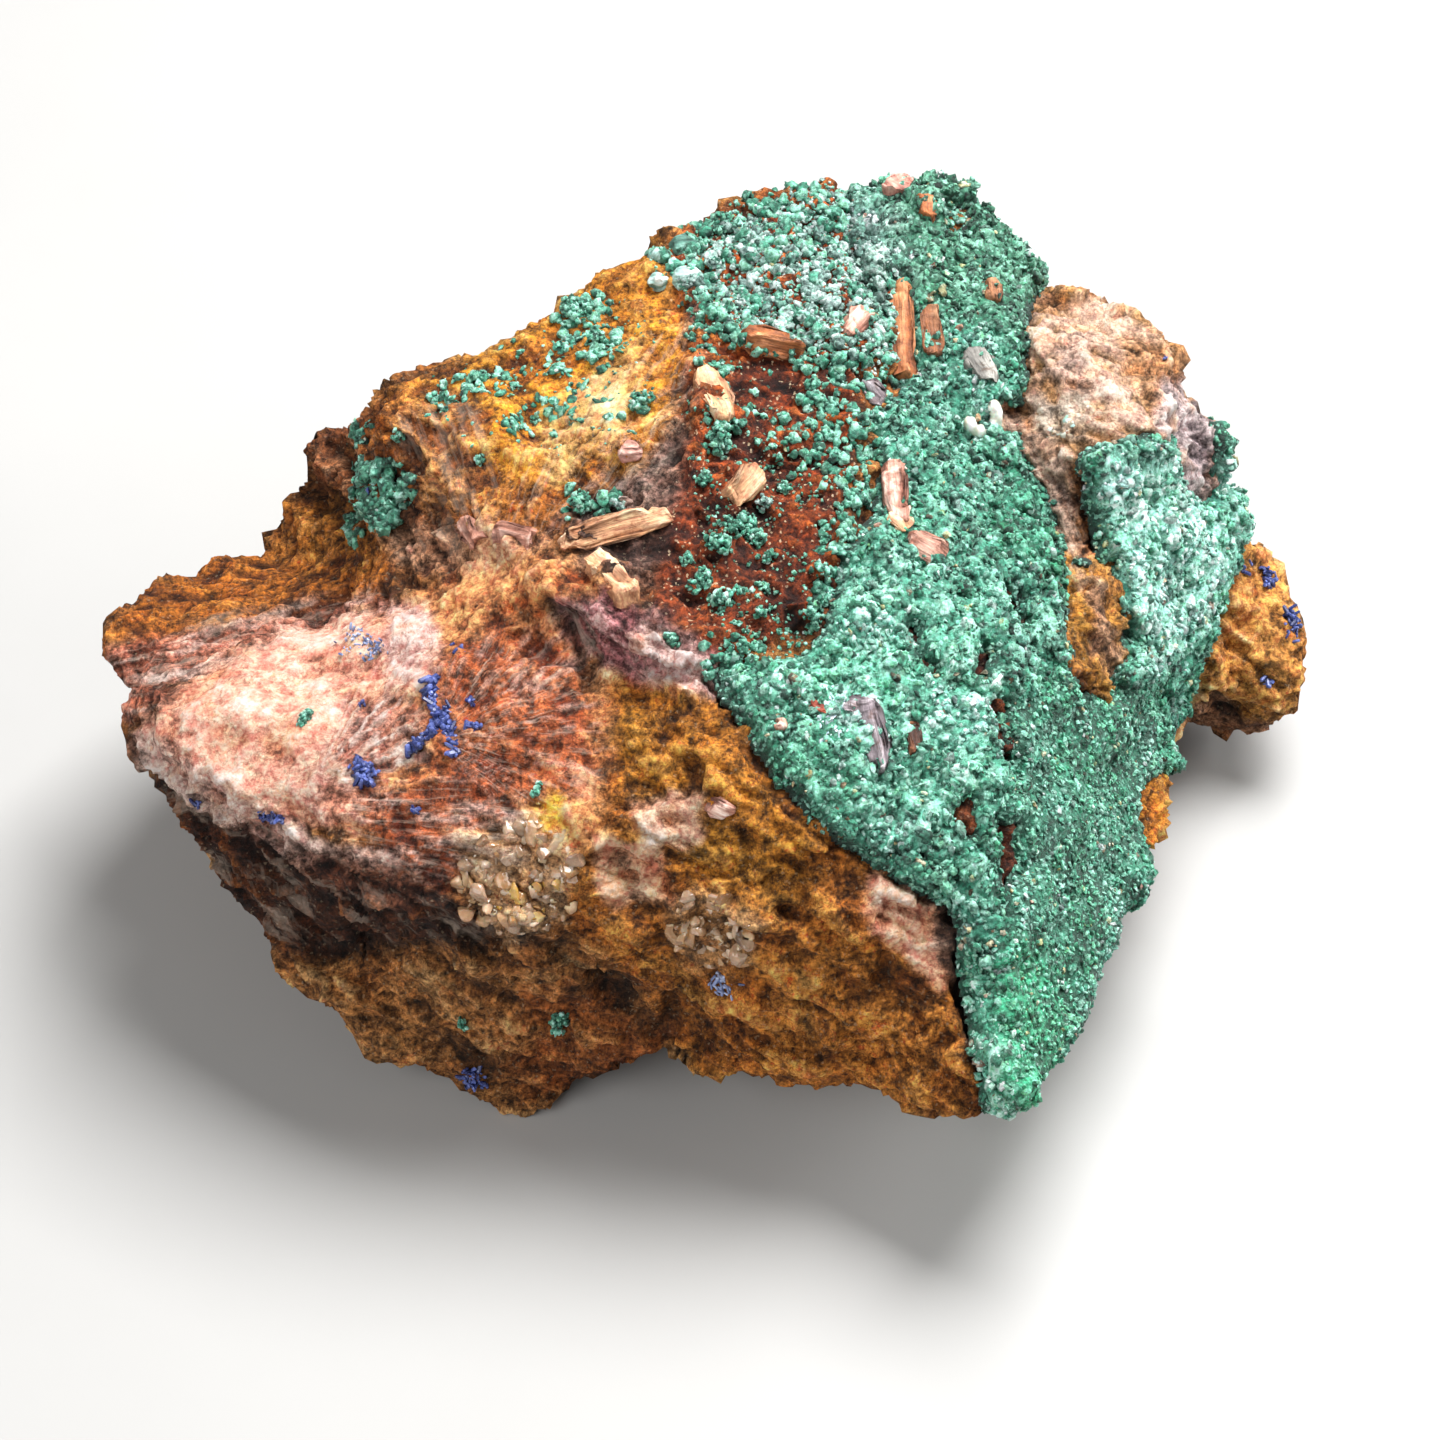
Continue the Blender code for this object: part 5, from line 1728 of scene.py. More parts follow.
@dataclass
class MalachiteCrust:
    """The green crust: a closed sheet over the rock's crust zone, its top in rounded lumps."""

    node: bpy.types.Object
    zone: CrustZone = field(default_factory=CrustZone)
    reshaper: Reshaper = field(default_factory=lambda: Reshaper(0.29, 5))
    finish: MalachiteFinish = field(default_factory=MalachiteFinish)
    lift_mm: float = 1.2
    root_mm: float = 0.35
    lump_mm: float = 1.5
    lump_rise_mm: float = 0.62
    bud_mm: float = 0.62
    bud_rise_mm: float = 0.32
    velvet: Outline = path(
        "1003,700 1060,668 1165,690 1150,860 1100,990 1070,1040 1040,1090 1010,1060 1000,860"
    )

    def build(self) -> Surface:
        """Make the crust and give back its outer surface."""
        base = self.reshaper.fine(self.node)
        cover = self.zone.cover(base)
        kept = base.triangles[(cover[base.triangles] > 0).any(axis=1)]
        used, kept = np.unique(kept, return_inverse=True)
        kept = kept.reshape(-1, 3)
        under, out, cover = base.points[used], base.normals[used], cover[used]
        height, lumps_mm = self.lumps(under)
        top = under + out * ((self.lift_mm + lumps_mm) * cover * MM)[:, None]
        bottom = under - out * self.root_mm * MM
        points, triangles = self.closed(top, bottom, kept)
        seen = np.ones(len(points))
        # Painted shade between the lumps, at the thin rim and on the hidden bottom; painted highlight on the
        # lumps' tops.
        height = np.concatenate([height * cover + cover - 1, np.full(len(bottom), -1.0)])
        colour, _, _ = CRUST_PAINTER.paint(points, height, seen)
        Piece("crust_sheet", points, triangles, colour, "malachite",
              self.finish.material()).build("malachite_crust")
        return Surface.of(top, kept)

    def lumps(self, points: Array) -> tuple[Array, Array]:
        """Rounded lumps with buds on them.

        A lump is a cap over the nearest seed point: the root of one less its distance
        squared. Buds are the same at a finer scale. Both sink to a fine nap on the velvet.

        Args:
            points: places in metres, shape (n, 3).

        Returns:
            The height from -1 to 1, and the rise in millimetres.
        """
        mm = points / MM
        near, _, owner = Noise.cells((mm + Noise.shift(mm / 1.3, 71) * 0.4) / self.lump_mm, 80)
        lump = np.sqrt(np.clip(1 - (near / 0.8) ** 2, 0, 1)) * (0.4 + 0.9 * owner)
        near, _, owner = Noise.cells(mm / self.bud_mm, 90)
        bud = np.sqrt(np.clip(1 - (near / 0.75) ** 2, 0, 1)) * (0.5 + 0.7 * owner)
        depth = inside_by(SIGHT.grid(points), self.velvet)
        nap = smooth_step(-18, 18, depth + Noise.fractal(mm / 2.0, 3, 95) * 16)
        lump = lump * (1 - 0.75 * nap)
        bud = bud * (1 - 0.55 * nap)
        swell = Noise.fractal(mm / 3.5, 3, 97) * 0.18
        rise = (lump - 0.5) * self.lump_rise_mm + (bud - 0.5) * self.bud_rise_mm + swell
        return np.clip(lump * 1.1 + bud * 0.9 - 1.0 + swell, -1, 1), rise

    @staticmethod
    def closed(top: Array, bottom: Array, kept: Array) -> tuple[Array, Array]:
        """The sheet's top, bottom and rim as one closed shell.

        The bottom is the top's triangles turned over. Each edge that only one triangle
        uses is joined to the same edge below by two triangles.

        Args:
            top: the outer points.
            bottom: the points below them.
            kept: the top's triangles.

        Returns:
            All points and all triangles.
        """
        count = len(top)
        ways = kept[:, [0, 1, 1, 2, 2, 0]].reshape(-1, 2).astype(np.int64)
        keys = ways[:, 0] * count + ways[:, 1]
        single = ways[~np.isin(keys, ways[:, 1] * count + ways[:, 0])]
        start, end = single[:, 0], single[:, 1]
        rim = np.concatenate([
            np.stack([end, start, start + count], axis=-1),
            np.stack([end, start + count, end + count], axis=-1),
        ])
        points = np.concatenate([top, bottom])
        return points, np.concatenate([kept, kept[:, ::-1] + count, rim])


def ball_net(level: int) -> tuple[Array, Array]:
    """A ball of radius one as a triangle net, finer with each level.

    Args:
        level: 2 gives 42 points, 3 gives 162, 4 gives 642.

    Returns:
        The points and the triangles.
    """
    shell = bmesh.new()
    bmesh.ops.create_icosphere(shell, subdivisions=level, radius=1.0)
    mesh = bpy.data.meshes.new("ball")
    shell.to_mesh(mesh)
    shell.free()
    surface = Surface.read(mesh)
    bpy.data.meshes.remove(mesh)
    return surface.points, surface.triangles


def frames_about(normals: Array, dice: np.random.Generator) -> tuple[Array, Array]:
    """Two directions square to each normal and to each other, turned at random.

    Args:
        normals: directions of length one, shape (n, 3).
        dice: the random numbers.

    Returns:
        The two directions, shape (n, 3) each.
    """
    side = unit(np.cross(normals, unit(dice.normal(size=normals.shape)) + 1e-6))
    return side, np.cross(normals, side)


@dataclass
class Heap:
    """Many bumpy balls, gathered with the shades each is painted in."""

    dice: np.random.Generator
    level: int = 2
    bump: float = 0.3
    tilt: float = 0.35
    fleck_mm: float = 0.3
    places: list[Array] = field(default_factory=list)
    normals: list[Array] = field(default_factory=list)
    radii: list[Array] = field(default_factory=list)
    squashes: list[Array] = field(default_factory=list)
    shades: list[Array] = field(default_factory=list)

    def add(self, places: Array, normals: Array, radii_mm: Array, squash: float,
            shades: Array) -> None:
        """Gather some balls.

        Args:
            places: where they sit, in metres, shape (n, 3).
            normals: which way each grows.
            radii_mm: one radius each.
            squash: height over width.
            shades: pit, body and crest colours, shape (n, 3, 3).
        """
        self.places.append(places)
        self.normals.append(normals)
        self.radii.append(radii_mm)
        self.squashes.append(np.full(len(places), squash))
        self.shades.append(shades)

    def meshed(self) -> tuple[Array, Array, Array]:
        """Every ball as points, triangles and colours.

        A ball point is its net direction, stretched by a random bump, laid along the
        ball's own side, cross and normal directions. Its colour runs from painted shade at the
        foot to painted highlight on top.

        Returns:
            Points, triangles and linear colours.
        """
        net, triangles = ball_net(self.level)
        places, normals = np.concatenate(self.places), np.concatenate(self.normals)
        normals = unit(normals + self.dice.normal(0, self.tilt, normals.shape))
        radii = np.concatenate(self.radii)[:, None, None] * MM
        squash = np.concatenate(self.squashes)[:, None]
        side, cross = frames_about(normals, self.dice)
        reach = 1 + self.bump * self.dice.uniform(-1, 1, (len(places), len(net)))
        local = net[None] * reach[..., None]
        width = self.dice.uniform(0.8, 1.2, (len(places), 1))
        laid = (
            side[:, None] * (local[..., 0] * width)[..., None]
            + cross[:, None] * (local[..., 1] / width)[..., None]
            + normals[:, None] * (local[..., 2] * squash)[..., None]
        )
        points = places[:, None] + normals[:, None] * radii * squash[..., None] * 0.3 + laid * radii
        points = points.reshape(-1, 3)
        light = self.dice.uniform(-0.8, 0.7, (len(places), 1))
        # Painted light: the tops of the balls are lighter, their feet darker.
        height = net[None, :, 2] * 0.45 + (reach - 1) / self.bump * 0.3 + light
        height = height.ravel() + Noise.fractal(points / MM / self.fleck_mm, 2, 29) * 0.6
        rows = np.repeat(np.concatenate(self.shades), len(net), axis=0)
        colour = Painter.shaded(rows, height)
        return points, copied(triangles, len(places), len(net)), colour


@dataclass(frozen=True)
class TuftField:
    """Small malachite balls strewn over one part of the rock."""

    name: str
    outline: Outline
    density: float
    low_mm: float
    high_mm: float
    tones: Tones
    clump: float = 0.0
    squash: float = 0.85
    feather: float = 10.0
    sharp: bool = False


@dataclass(frozen=True)
class Bunch:
    """One larger malachite ball, itself covered in small ones."""

    spot: Spot
    size_mm: float
    tones: Tones


MINT = Tones("1c5a48", "5fb498", "bce8d8")
GREEN = Tones("0e3c2e", "3c8e72", "96d4bc")
DEEP = Tones("06241a", "1f604a", "64a88c")
BLOOM = Tones("3a544e", "86a49c", "ccdcd8")

FLECKS = (
    (-1.0, 0.03, BLOOM), (0.045, 0.06, Tones("9c8450", "dcc890", "f6ecc8")),
    (0.06, 0.075, Tones("a8b8b4", "dce8e6", "fbfdfd")),
    (0.075, 0.088, Tones("4a2214", "94583c", "d0a088")),
)

TUFT_FIELDS = (
    TuftField("crest_bloom", path(
        "700,250 740,215 800,200 850,195 890,215 900,300 880,350 800,345 740,330 700,300"
    ), 1.56, 0.18, 0.52, BLOOM, 0.0),
    TuftField("crest_left", path(
        "655,262 690,225 760,196 830,182 900,168 964,178 964,260 900,300 820,280 740,270 690,280"
    ), 1.1, 0.2, 0.58, GREEN, 0.15),
    TuftField("crest_middle", path(
        "700,280 780,300 880,300 960,280 964,354 900,380 820,370 740,350 690,330"
    ), 1.23, 0.2, 0.55, GREEN, 0.2),
    TuftField("plateau_right", path(
        "790,360 880,370 884,440 872,490 840,500 812,470 790,420"
    ), 1.27, 0.2, 0.5, GREEN, 0.3),
    TuftField("plateau_edge", path(
        "842,480 876,480 862,540 834,560 826,620 812,600 820,540"
    ), 2.2, 0.2, 0.45, GREEN, 0.2, 0.85, 5.0),
    TuftField("plateau_high", path(
        "690,330 790,340 790,420 812,470 790,480 740,460 700,430"
    ), 1.1, 0.14, 0.4, GREEN, 0.5),
    TuftField("plateau_specks", path(
        "690,430 790,470 850,500 830,640 760,660 700,600"
    ), 0.5, 0.08, 0.2, GREEN, 0.45),
    TuftField("plateau_low", path(
        "714,620 780,610 826,630 800,652 762,660 720,664"
    ), 3.0, 0.08, 0.22, GREEN, 0.2),
    TuftField("golden_flakes", path(
        "500,350 560,318 620,330 618,400 560,445 500,430"
    ), 1.43, 0.16, 0.4, GREEN, 0.5, 0.4),
    TuftField("golden_left", path(
        "428,390 500,370 520,410 520,440 470,430 430,410"
    ), 0.61, 0.22, 0.5, MINT, 0.5, 0.6),
    TuftField("golden_specks", path(
        "430,380 520,350 600,300 650,300 650,420 560,460 440,430"
    ), 0.9, 0.08, 0.2, GREEN, 0.4, 0.5, 12.0, True),
    TuftField("bloom_grains", path(
        "690,270 740,215 830,182 960,178 964,350 880,370 760,345"
    ), 5.0, 0.1, 0.24, BLOOM, 0.1, 0.8, 12.0, True),
    TuftField("crest_grains", path(
        "655,262 740,205 900,168 964,178 964,354 880,375 700,330"
    ), 4.0, 0.1, 0.24, GREEN, 0.1, 0.8, 12.0, True),
    TuftField("plateau_dust", path(
        "690,330 850,350 860,560 830,650 720,660 690,560"
    ), 1.0, 0.06, 0.16, GREEN, 0.45, 0.8, 12.0, True),
    TuftField("golden_knob", path(
        "560,300 600,296 622,330 612,372 570,360"
    ), 0.88, 0.25, 0.55, GREEN, 0.3),
    TuftField("golden_right", path(
        "600,400 650,400 652,430 604,432"
    ), 0.66, 0.25, 0.5, GREEN, 0.3, 0.6),
    TuftField("rosettes", path(
        "366,462 396,458 410,486 402,520 372,522 358,500"
    ), 3.2, 0.25, 0.6, DEEP, 0.1),
    TuftField("rosettes_low", path("348,520 365,516 366,545 350,545"), 2.6, 0.25, 0.5, DEEP, 0.1),
    TuftField("rosettes_high", path("356,420 366,420 366,440 354,440"), 3.0, 0.3, 0.5, DEEP, 0.0),
    TuftField("under_slope", path("560,490 610,490 605,515 565,515"), 1.6, 0.25, 0.5, GREEN, 0.2),
    TuftField("plateau_foot", path(
        "700,640 760,640 780,700 740,700 700,670"
    ), 1.4, 0.22, 0.5, GREEN, 0.2),
)

BUNCHES = (
    Bunch((688, 276), 2.2, BLOOM), Bunch((655, 256), 1.3, GREEN), Bunch((658, 282), 1.0, BLOOM),
    Bunch((697, 246), 1.3, GREEN), Bunch((722, 226), 1.6, GREEN), Bunch((710, 262), 1.2, BLOOM),
    Bunch((716, 440), 2.1, GREEN), Bunch((726, 424), 1.3, GREEN), Bunch((700, 478), 1.5, GREEN),
    Bunch((740, 524), 2.0, GREEN), Bunch((754, 540), 1.5, GREEN), Bunch((716, 548), 1.9, GREEN),
    Bunch((700, 582), 1.8, GREEN), Bunch((724, 594), 1.9, MINT), Bunch((740, 590), 1.5, GREEN),
    Bunch((757, 586), 1.4, GREEN), Bunch((808, 610), 1.7, GREEN), Bunch((690, 560), 1.1, GREEN),
    Bunch((770, 555), 0.9, GREEN), Bunch((783, 490), 1.0, GREEN), Bunch((765, 500), 1.1, BLOOM),
    Bunch((575, 318), 2.3, GREEN), Bunch((598, 345), 1.6, GREEN), Bunch((640, 408), 1.7, GREEN),
    Bunch((442, 398), 1.4, MINT), Bunch((475, 382), 1.5, GREEN), Bunch((580, 504), 1.8, GREEN),
    Bunch((622, 503), 1.2, BLOOM), Bunch((398, 434), 0.9, GREEN), Bunch((563, 1022), 1.7, GREEN),
    Bunch((463, 1020), 0.9, GREEN), Bunch((538, 791), 0.8, MINT), Bunch((303, 720), 1.2, MINT),
    Bunch((672, 640), 1.1, GREEN), Bunch((757, 612), 0.8, GREEN), Bunch((480, 458), 1.0, GREEN),
)


@dataclass
class MalachiteTufts:
    """Every small malachite ball, on the crust and loose on the rock."""

    finish: bpy.types.Material
    seed: int = 41
    crust_density: float = 1.25
    crust_radii_mm: tuple[float, float] = (0.18, 0.34)
    velvet_density: float = 0.7
    velvet_radii_mm: tuple[float, float] = (0.14, 0.12)
    grain_density: float = 3.4
    velvet_grains: float = 7.5
    ball_grains: float = 1.1
    limit: int = 2400
    grain_limit: int = 9500

    def build(self, rock: Surface, crust: Surface, tree: BVHTree) -> None:
        """Strew the crust, the rock's fields and the bunches, then grains on the loose balls.

        Args:
            rock: the rock's finished surface.
            crust: the crust's finished surface.
            tree: both, to land a spot on.
        """
        dice = np.random.default_rng(self.seed)
        self.on_crust(crust, dice)
        balls, grains = Heap(dice, bump=0.38), Heap(dice, level=1, bump=0.35, tilt=0.6)
        for tufts in TUFT_FIELDS:
            self.strew(grains if tufts.sharp else balls, rock, tufts, dice)
        loose = self.write("loose_balls", balls)
        balls = Heap(dice, bump=0.42, tilt=0.5, fleck_mm=0.22)
        for bunch in BUNCHES:
            self.bunched(balls, bunch, tree, dice)
        self.write("malachite_bunches", balls)
        places, normals = loose.scattered(np.full(len(loose.triangles), 0.9), dice)
        shades = self.flecked(places, dice)
        grains.add(places, normals, dice.uniform(0.09, 0.2, len(places)), 0.8, shades)
        self.write("loose_grains", grains, False)

    @staticmethod
    def nap(points: Array) -> Array:
        """How far each place lies on the crust's velvet, from 0 to 1."""
        return smooth_step(-14, 14, inside_by(SIGHT.grid(points), MalachiteCrust.velvet))

    def on_crust(self, crust: Surface, dice: np.random.Generator) -> None:
        """Balls all over the crust, smaller and fewer on the velvet, then grains on both.

        A radius is the smallest one plus a random share of what the largest has more.

        Args:
            crust: the crust's finished surface.
            dice: the random numbers.
        """
        nap = self.nap(crust.middles())
        density = self.crust_density + (self.velvet_density - self.crust_density) * nap
        places, normals = crust.scattered(density, dice)
        nap = self.nap(places)
        size = dice.uniform(0, 1, len(places)) ** 1.9
        (low, more), (low_nap, more_nap) = self.crust_radii_mm, self.velvet_radii_mm
        radii = (low + more * size) * (1 - nap) + (low_nap + more_nap * size) * nap
        shades = self.flecked(places, dice)
        carriers = [crust]
        for part, start in enumerate(range(0, len(places), self.limit)):
            rows = slice(start, start + self.limit)
            heap = Heap(dice, bump=0.42, tilt=0.7, fleck_mm=0.22)
            heap.add(places[rows], normals[rows], radii[rows], 0.62, shades[rows])
            carriers.append(self.write(f"crust_balls_{part + 1}", heap))
        self.grains(carriers, dice)

    def grains(self, carriers: list[Surface], dice: np.random.Generator) -> None:
        """Small sharp grains all over the crust sheet and the balls on it.

        Args:
            carriers: the sheet, then the balls.
            dice: the random numbers.
        """
        found = []
        for index, carrier in enumerate(carriers):
            nap = self.nap(carrier.middles())
            seen = carrier.facing()[carrier.triangles[:, 0]] > -0.4
            if index == 0:
                density = self.grain_density + (self.velvet_grains - self.grain_density) * nap
            else:
                density = self.ball_grains * (seen & (nap < 0.5))
            found.append(carrier.scattered(density, dice))
        places = np.concatenate([place for place, _ in found])
        normals = np.concatenate([normal for _, normal in found])
        radii = 0.1 + 0.22 * dice.uniform(0, 1, len(places)) ** 2
        shades = self.flecked(places, dice)
        for part, start in enumerate(range(0, len(places), self.grain_limit)):
            rows = slice(start, start + self.grain_limit)
            heap = Heap(dice, level=1, bump=0.4, tilt=0.8, fleck_mm=0.2)
            heap.add(places[rows], normals[rows], radii[rows], 0.55, shades[rows])
            self.write(f"crust_grains_{part + 1}", heap, False)

    @staticmethod
    def flecked(places: Array, dice: np.random.Generator) -> Array:
        """The crust's shades at each place, a few swapped for bloom, cream, white or rust.

        Noise then darkens some patches and shifts the hue of others.

        Args:
            places: in metres, shape (n, 3).
            dice: the random numbers.

        Returns:
            Pit, body and crest colours, shape (n, 3, 3).
        """
        shades, _, _ = CRUST_PAINTER.mixed(places, np.ones(len(places)))
        patchy = Noise.fractal(places / MM / 2.6, 3, 821)
        draw = dice.random(len(places)) - patchy * 0.03
        for low, high, tones in FLECKS:
            picked = ((draw >= low) & (draw < high))[:, None, None]
            shades = np.where(picked, shades * 0.25 + tones.rows() * 0.75, shades)
        dark = smooth_step(0.1, 0.5, Noise.fractal(places / MM / 1.1, 3, 831))[:, None, None]
        hue = Noise.fractal(places / MM / 2.2, 3, 841)[:, None, None]
        return shades * (1 - 0.5 * dark) * (1 + hue * np.array([0.5, 0.12, 0.3]))

    def strew(self, heap: Heap, rock: Surface, tufts: TuftField,
              dice: np.random.Generator) -> None:
        """One field's balls, fewer towards its edge and, where it clumps, between clumps.

        Args:
            heap: where they are gathered.
            rock: the rock's finished surface.
            tufts: the field.
            dice: the random numbers.
        """
        middles = rock.middles()
        seen = rock.facing()[rock.triangles[:, 0]] > 0.02
        depth = inside_by(SIGHT.grid(middles), tufts.outline)
        share = smooth_step(-tufts.feather, tufts.feather, depth) * seen
        clumps = Noise.fractal(middles / MM / 1.7, 3, 811) * 0.5 + 0.5
        share *= smooth_step(tufts.clump - 0.08, tufts.clump + 0.12, clumps)
        gain = 1 / max(0.25, 1 - tufts.clump)
        places, normals = rock.scattered(share * tufts.density * gain, dice)
        size = dice.uniform(0, 1, len(places)) ** 1.4
        radii = tufts.low_mm + (tufts.high_mm - tufts.low_mm) * size
        shades = np.tile(tufts.tones.rows(), (len(places), 1, 1))
        pale = (dice.random(len(places)) < 0.2)[:, None, None]
        shades = np.where(pale, shades * 0.5 + MINT.rows() * 0.5, shades)
        heap.add(places, normals, radii, tufts.squash, shades)

    @staticmethod
    def bunched(heap: Heap, bunch: Bunch, tree: BVHTree, dice: np.random.Generator) -> None:
        """One larger ball: small balls strewn at random round a few lobes within its size.

        Args:
            heap: where they are gathered.
            bunch: the larger ball.
            tree: what it sits on.
            dice: the random numbers.
        """
        spot, normal = landed(tree, bunch.spot)
        radius = bunch.size_mm / 2
        count = int(16 + 60 * radius * radius)
        lobes = dice.normal(0, 0.42, (5, 3)) * radius
        lobes -= (lobes @ normal)[:, None] * normal * 0.7
        out = unit(dice.normal(size=(count, 3)) + normal * 0.6)
        which = dice.integers(0, len(lobes), count)
        middles = spot + (lobes[which] + normal * radius * 0.35) * MM
        places = middles + out * dice.uniform(0.3, 0.6, (count, 1)) * radius * MM
        radii = dice.uniform(0.1, 0.26, count) * (0.7 + 0.4 * radius)
        shades = np.tile(bunch.tones.rows(), (count, 1, 1))
        pale = (dice.random(count) < 0.25)[:, None, None]
        heap.add(places, out, radii, 0.7, np.where(pale, MINT.rows(), shades))

    def write(self, name: str, heap: Heap, smooth: bool = True) -> Surface:
        """Build one heap as a piece.

        Args:
            name: the piece's name.
            heap: its balls.
            smooth: whether it is shaded smooth.

        Returns:
            Its surface.
        """
        points, triangles, colour = heap.meshed()
        Piece(name, points, triangles, colour, "malachite", self.finish, smooth=smooth).build()
        return Surface.of(points, triangles)


def landed(tree: BVHTree, spot: Spot) -> tuple[Array, Array]:
    """Where the line of sight through a grid spot meets the surface.

    Args:
        tree: the surface.
        spot: grid column and row.

    Returns:
        The place in metres and the normal there, turned to the viewpoint.
    """
    ray = SIGHT.ray(spot)
    place, normal, _, _ = tree.ray_cast(Vector(SIGHT.eye()), ray)
    if place is None:
        raise ValueError(f"nothing lies behind grid spot {spot}")
    side = -1.0 if normal.dot(ray) > 0 else 1.0
    return np.array(place), np.array(normal) * side


@dataclass(frozen=True)
class Blade:
    """One spar blade, nodule or flake lying on the rock between two grid spots."""

    name: str
    start: Spot
    end: Spot
    width_mm: float
    rise_mm: float
    tones: Tones
    squareness: float = 0.3
    rough_mm: float = 0.36


PEACH = Tones("8a5434", "d29c72", "f6cea8")
ORANGE = Tones("6a3416", "a86236", "d49264")
PINK = Tones("744232", "b8826e", "e8c4b4")
MAUVE = Tones("4c4448", "94868c", "d4c8cc")
UMBER = Tones("3c1c0e", "8c5634", "c0906c")
FROST = Tones("5c8c80", "a4c8c0", "e4f2ee")

BLADES = (
    Blade("upper_left", (700, 382), (720, 428), 2.5, 0.55, PEACH),
    Blade("middle", (730, 500), (756, 466), 2.1, 0.7, PEACH),
    Blade("tall", (897, 284), (903, 376), 2.2, 0.6, ORANGE),
    Blade("tall_side", (928, 312), (934, 356), 1.4, 0.5, UMBER),
    Blade("crest", (744, 340), (802, 352), 1.9, 0.6, ORANGE),
    Blade("right", (893, 462), (900, 524), 1.6, 0.5, PINK),
    Blade("low_right", (908, 538), (942, 560), 2.2, 0.6, PINK),
    Blade("lower_end", (890, 516), (908, 532), 1.5, 0.5, PEACH),
    Blade("long", (558, 544), (668, 516), 2.0, 0.6, PEACH),
    Blade("short", (590, 564), (632, 602), 2.2, 0.6, PEACH),
    Blade("notch", (494, 532), (536, 542), 1.9, 0.5, PINK),
    Blade("notch_left", (464, 520), (476, 544), 1.6, 0.5, PINK),
    Blade("pale_ball_low", (648, 281), (668, 281), 1.4, 0.7, FROST, 0.9, 0.12),
    Blade("pale_ball_wide", (672, 282), (702, 277), 1.9, 0.9, FROST, 0.9, 0.14),
    Blade("pale_ball_left", (651, 259), (665, 256), 1.6, 0.9, FROST, 0.9, 0.12),
    Blade("pale_ball_high", (672, 250), (700, 246), 2.2, 1.0, Tones("3c6458", "6c9c8e", "a4c8bc"),
          0.9, 0.14),
    Blade("nodule_pink", (618, 451), (641, 451), 1.8, 0.6, Tones("8c5c4c", "d4a092", "f0ccc0"),
          0.9, 0.12),
    Blade("nodule_small", (617, 502), (631, 502), 1.1, 0.4, Tones("704c40", "a88c80", "d0c4b8"), 0.9),
    Blade("mauve_flake", (864, 700), (880, 772), 2.2, 0.4, MAUVE),
    Blade("mauve_side", (846, 700), (868, 708), 1.6, 0.4, MAUVE),
    Blade("brown_sliver", (912, 722), (917, 756), 0.9, 0.5, UMBER),
    Blade("red_fleck", (808, 700), (822, 712), 0.9, 0.5, Tones("5a1c10", "a44e38", "ecccc0"), 0.8),
    Blade("grey_fleck", (862, 386), (884, 404), 1.8, 0.5, Tones("3c3234", "786a6e", "a8a0a4"), 0.7),
    Blade("ridge_fleck", (990, 282), (994, 302), 1.0, 0.5, UMBER),
    Blade("tip_fleck", (892, 180), (908, 190), 2.2, 0.6, Tones("7c4438", "cc9484", "ecc8bc"), 0.7),
    Blade("top_fleck", (922, 196), (930, 222), 1.7, 0.5, ORANGE),
    Blade("upper_fleck", (846, 334), (868, 312), 1.7, 0.5, PINK),
    Blade("grey_chip", (974, 352), (990, 384), 2.2, 0.5, Tones("44403c", "84807a", "b4b0a8")),
    Blade("edge_chip", (776, 722), (782, 734), 0.8, 0.4, PINK, 0.8),
    Blade("low_chip", (706, 800), (732, 812), 1.2, 0.4, PINK),
)


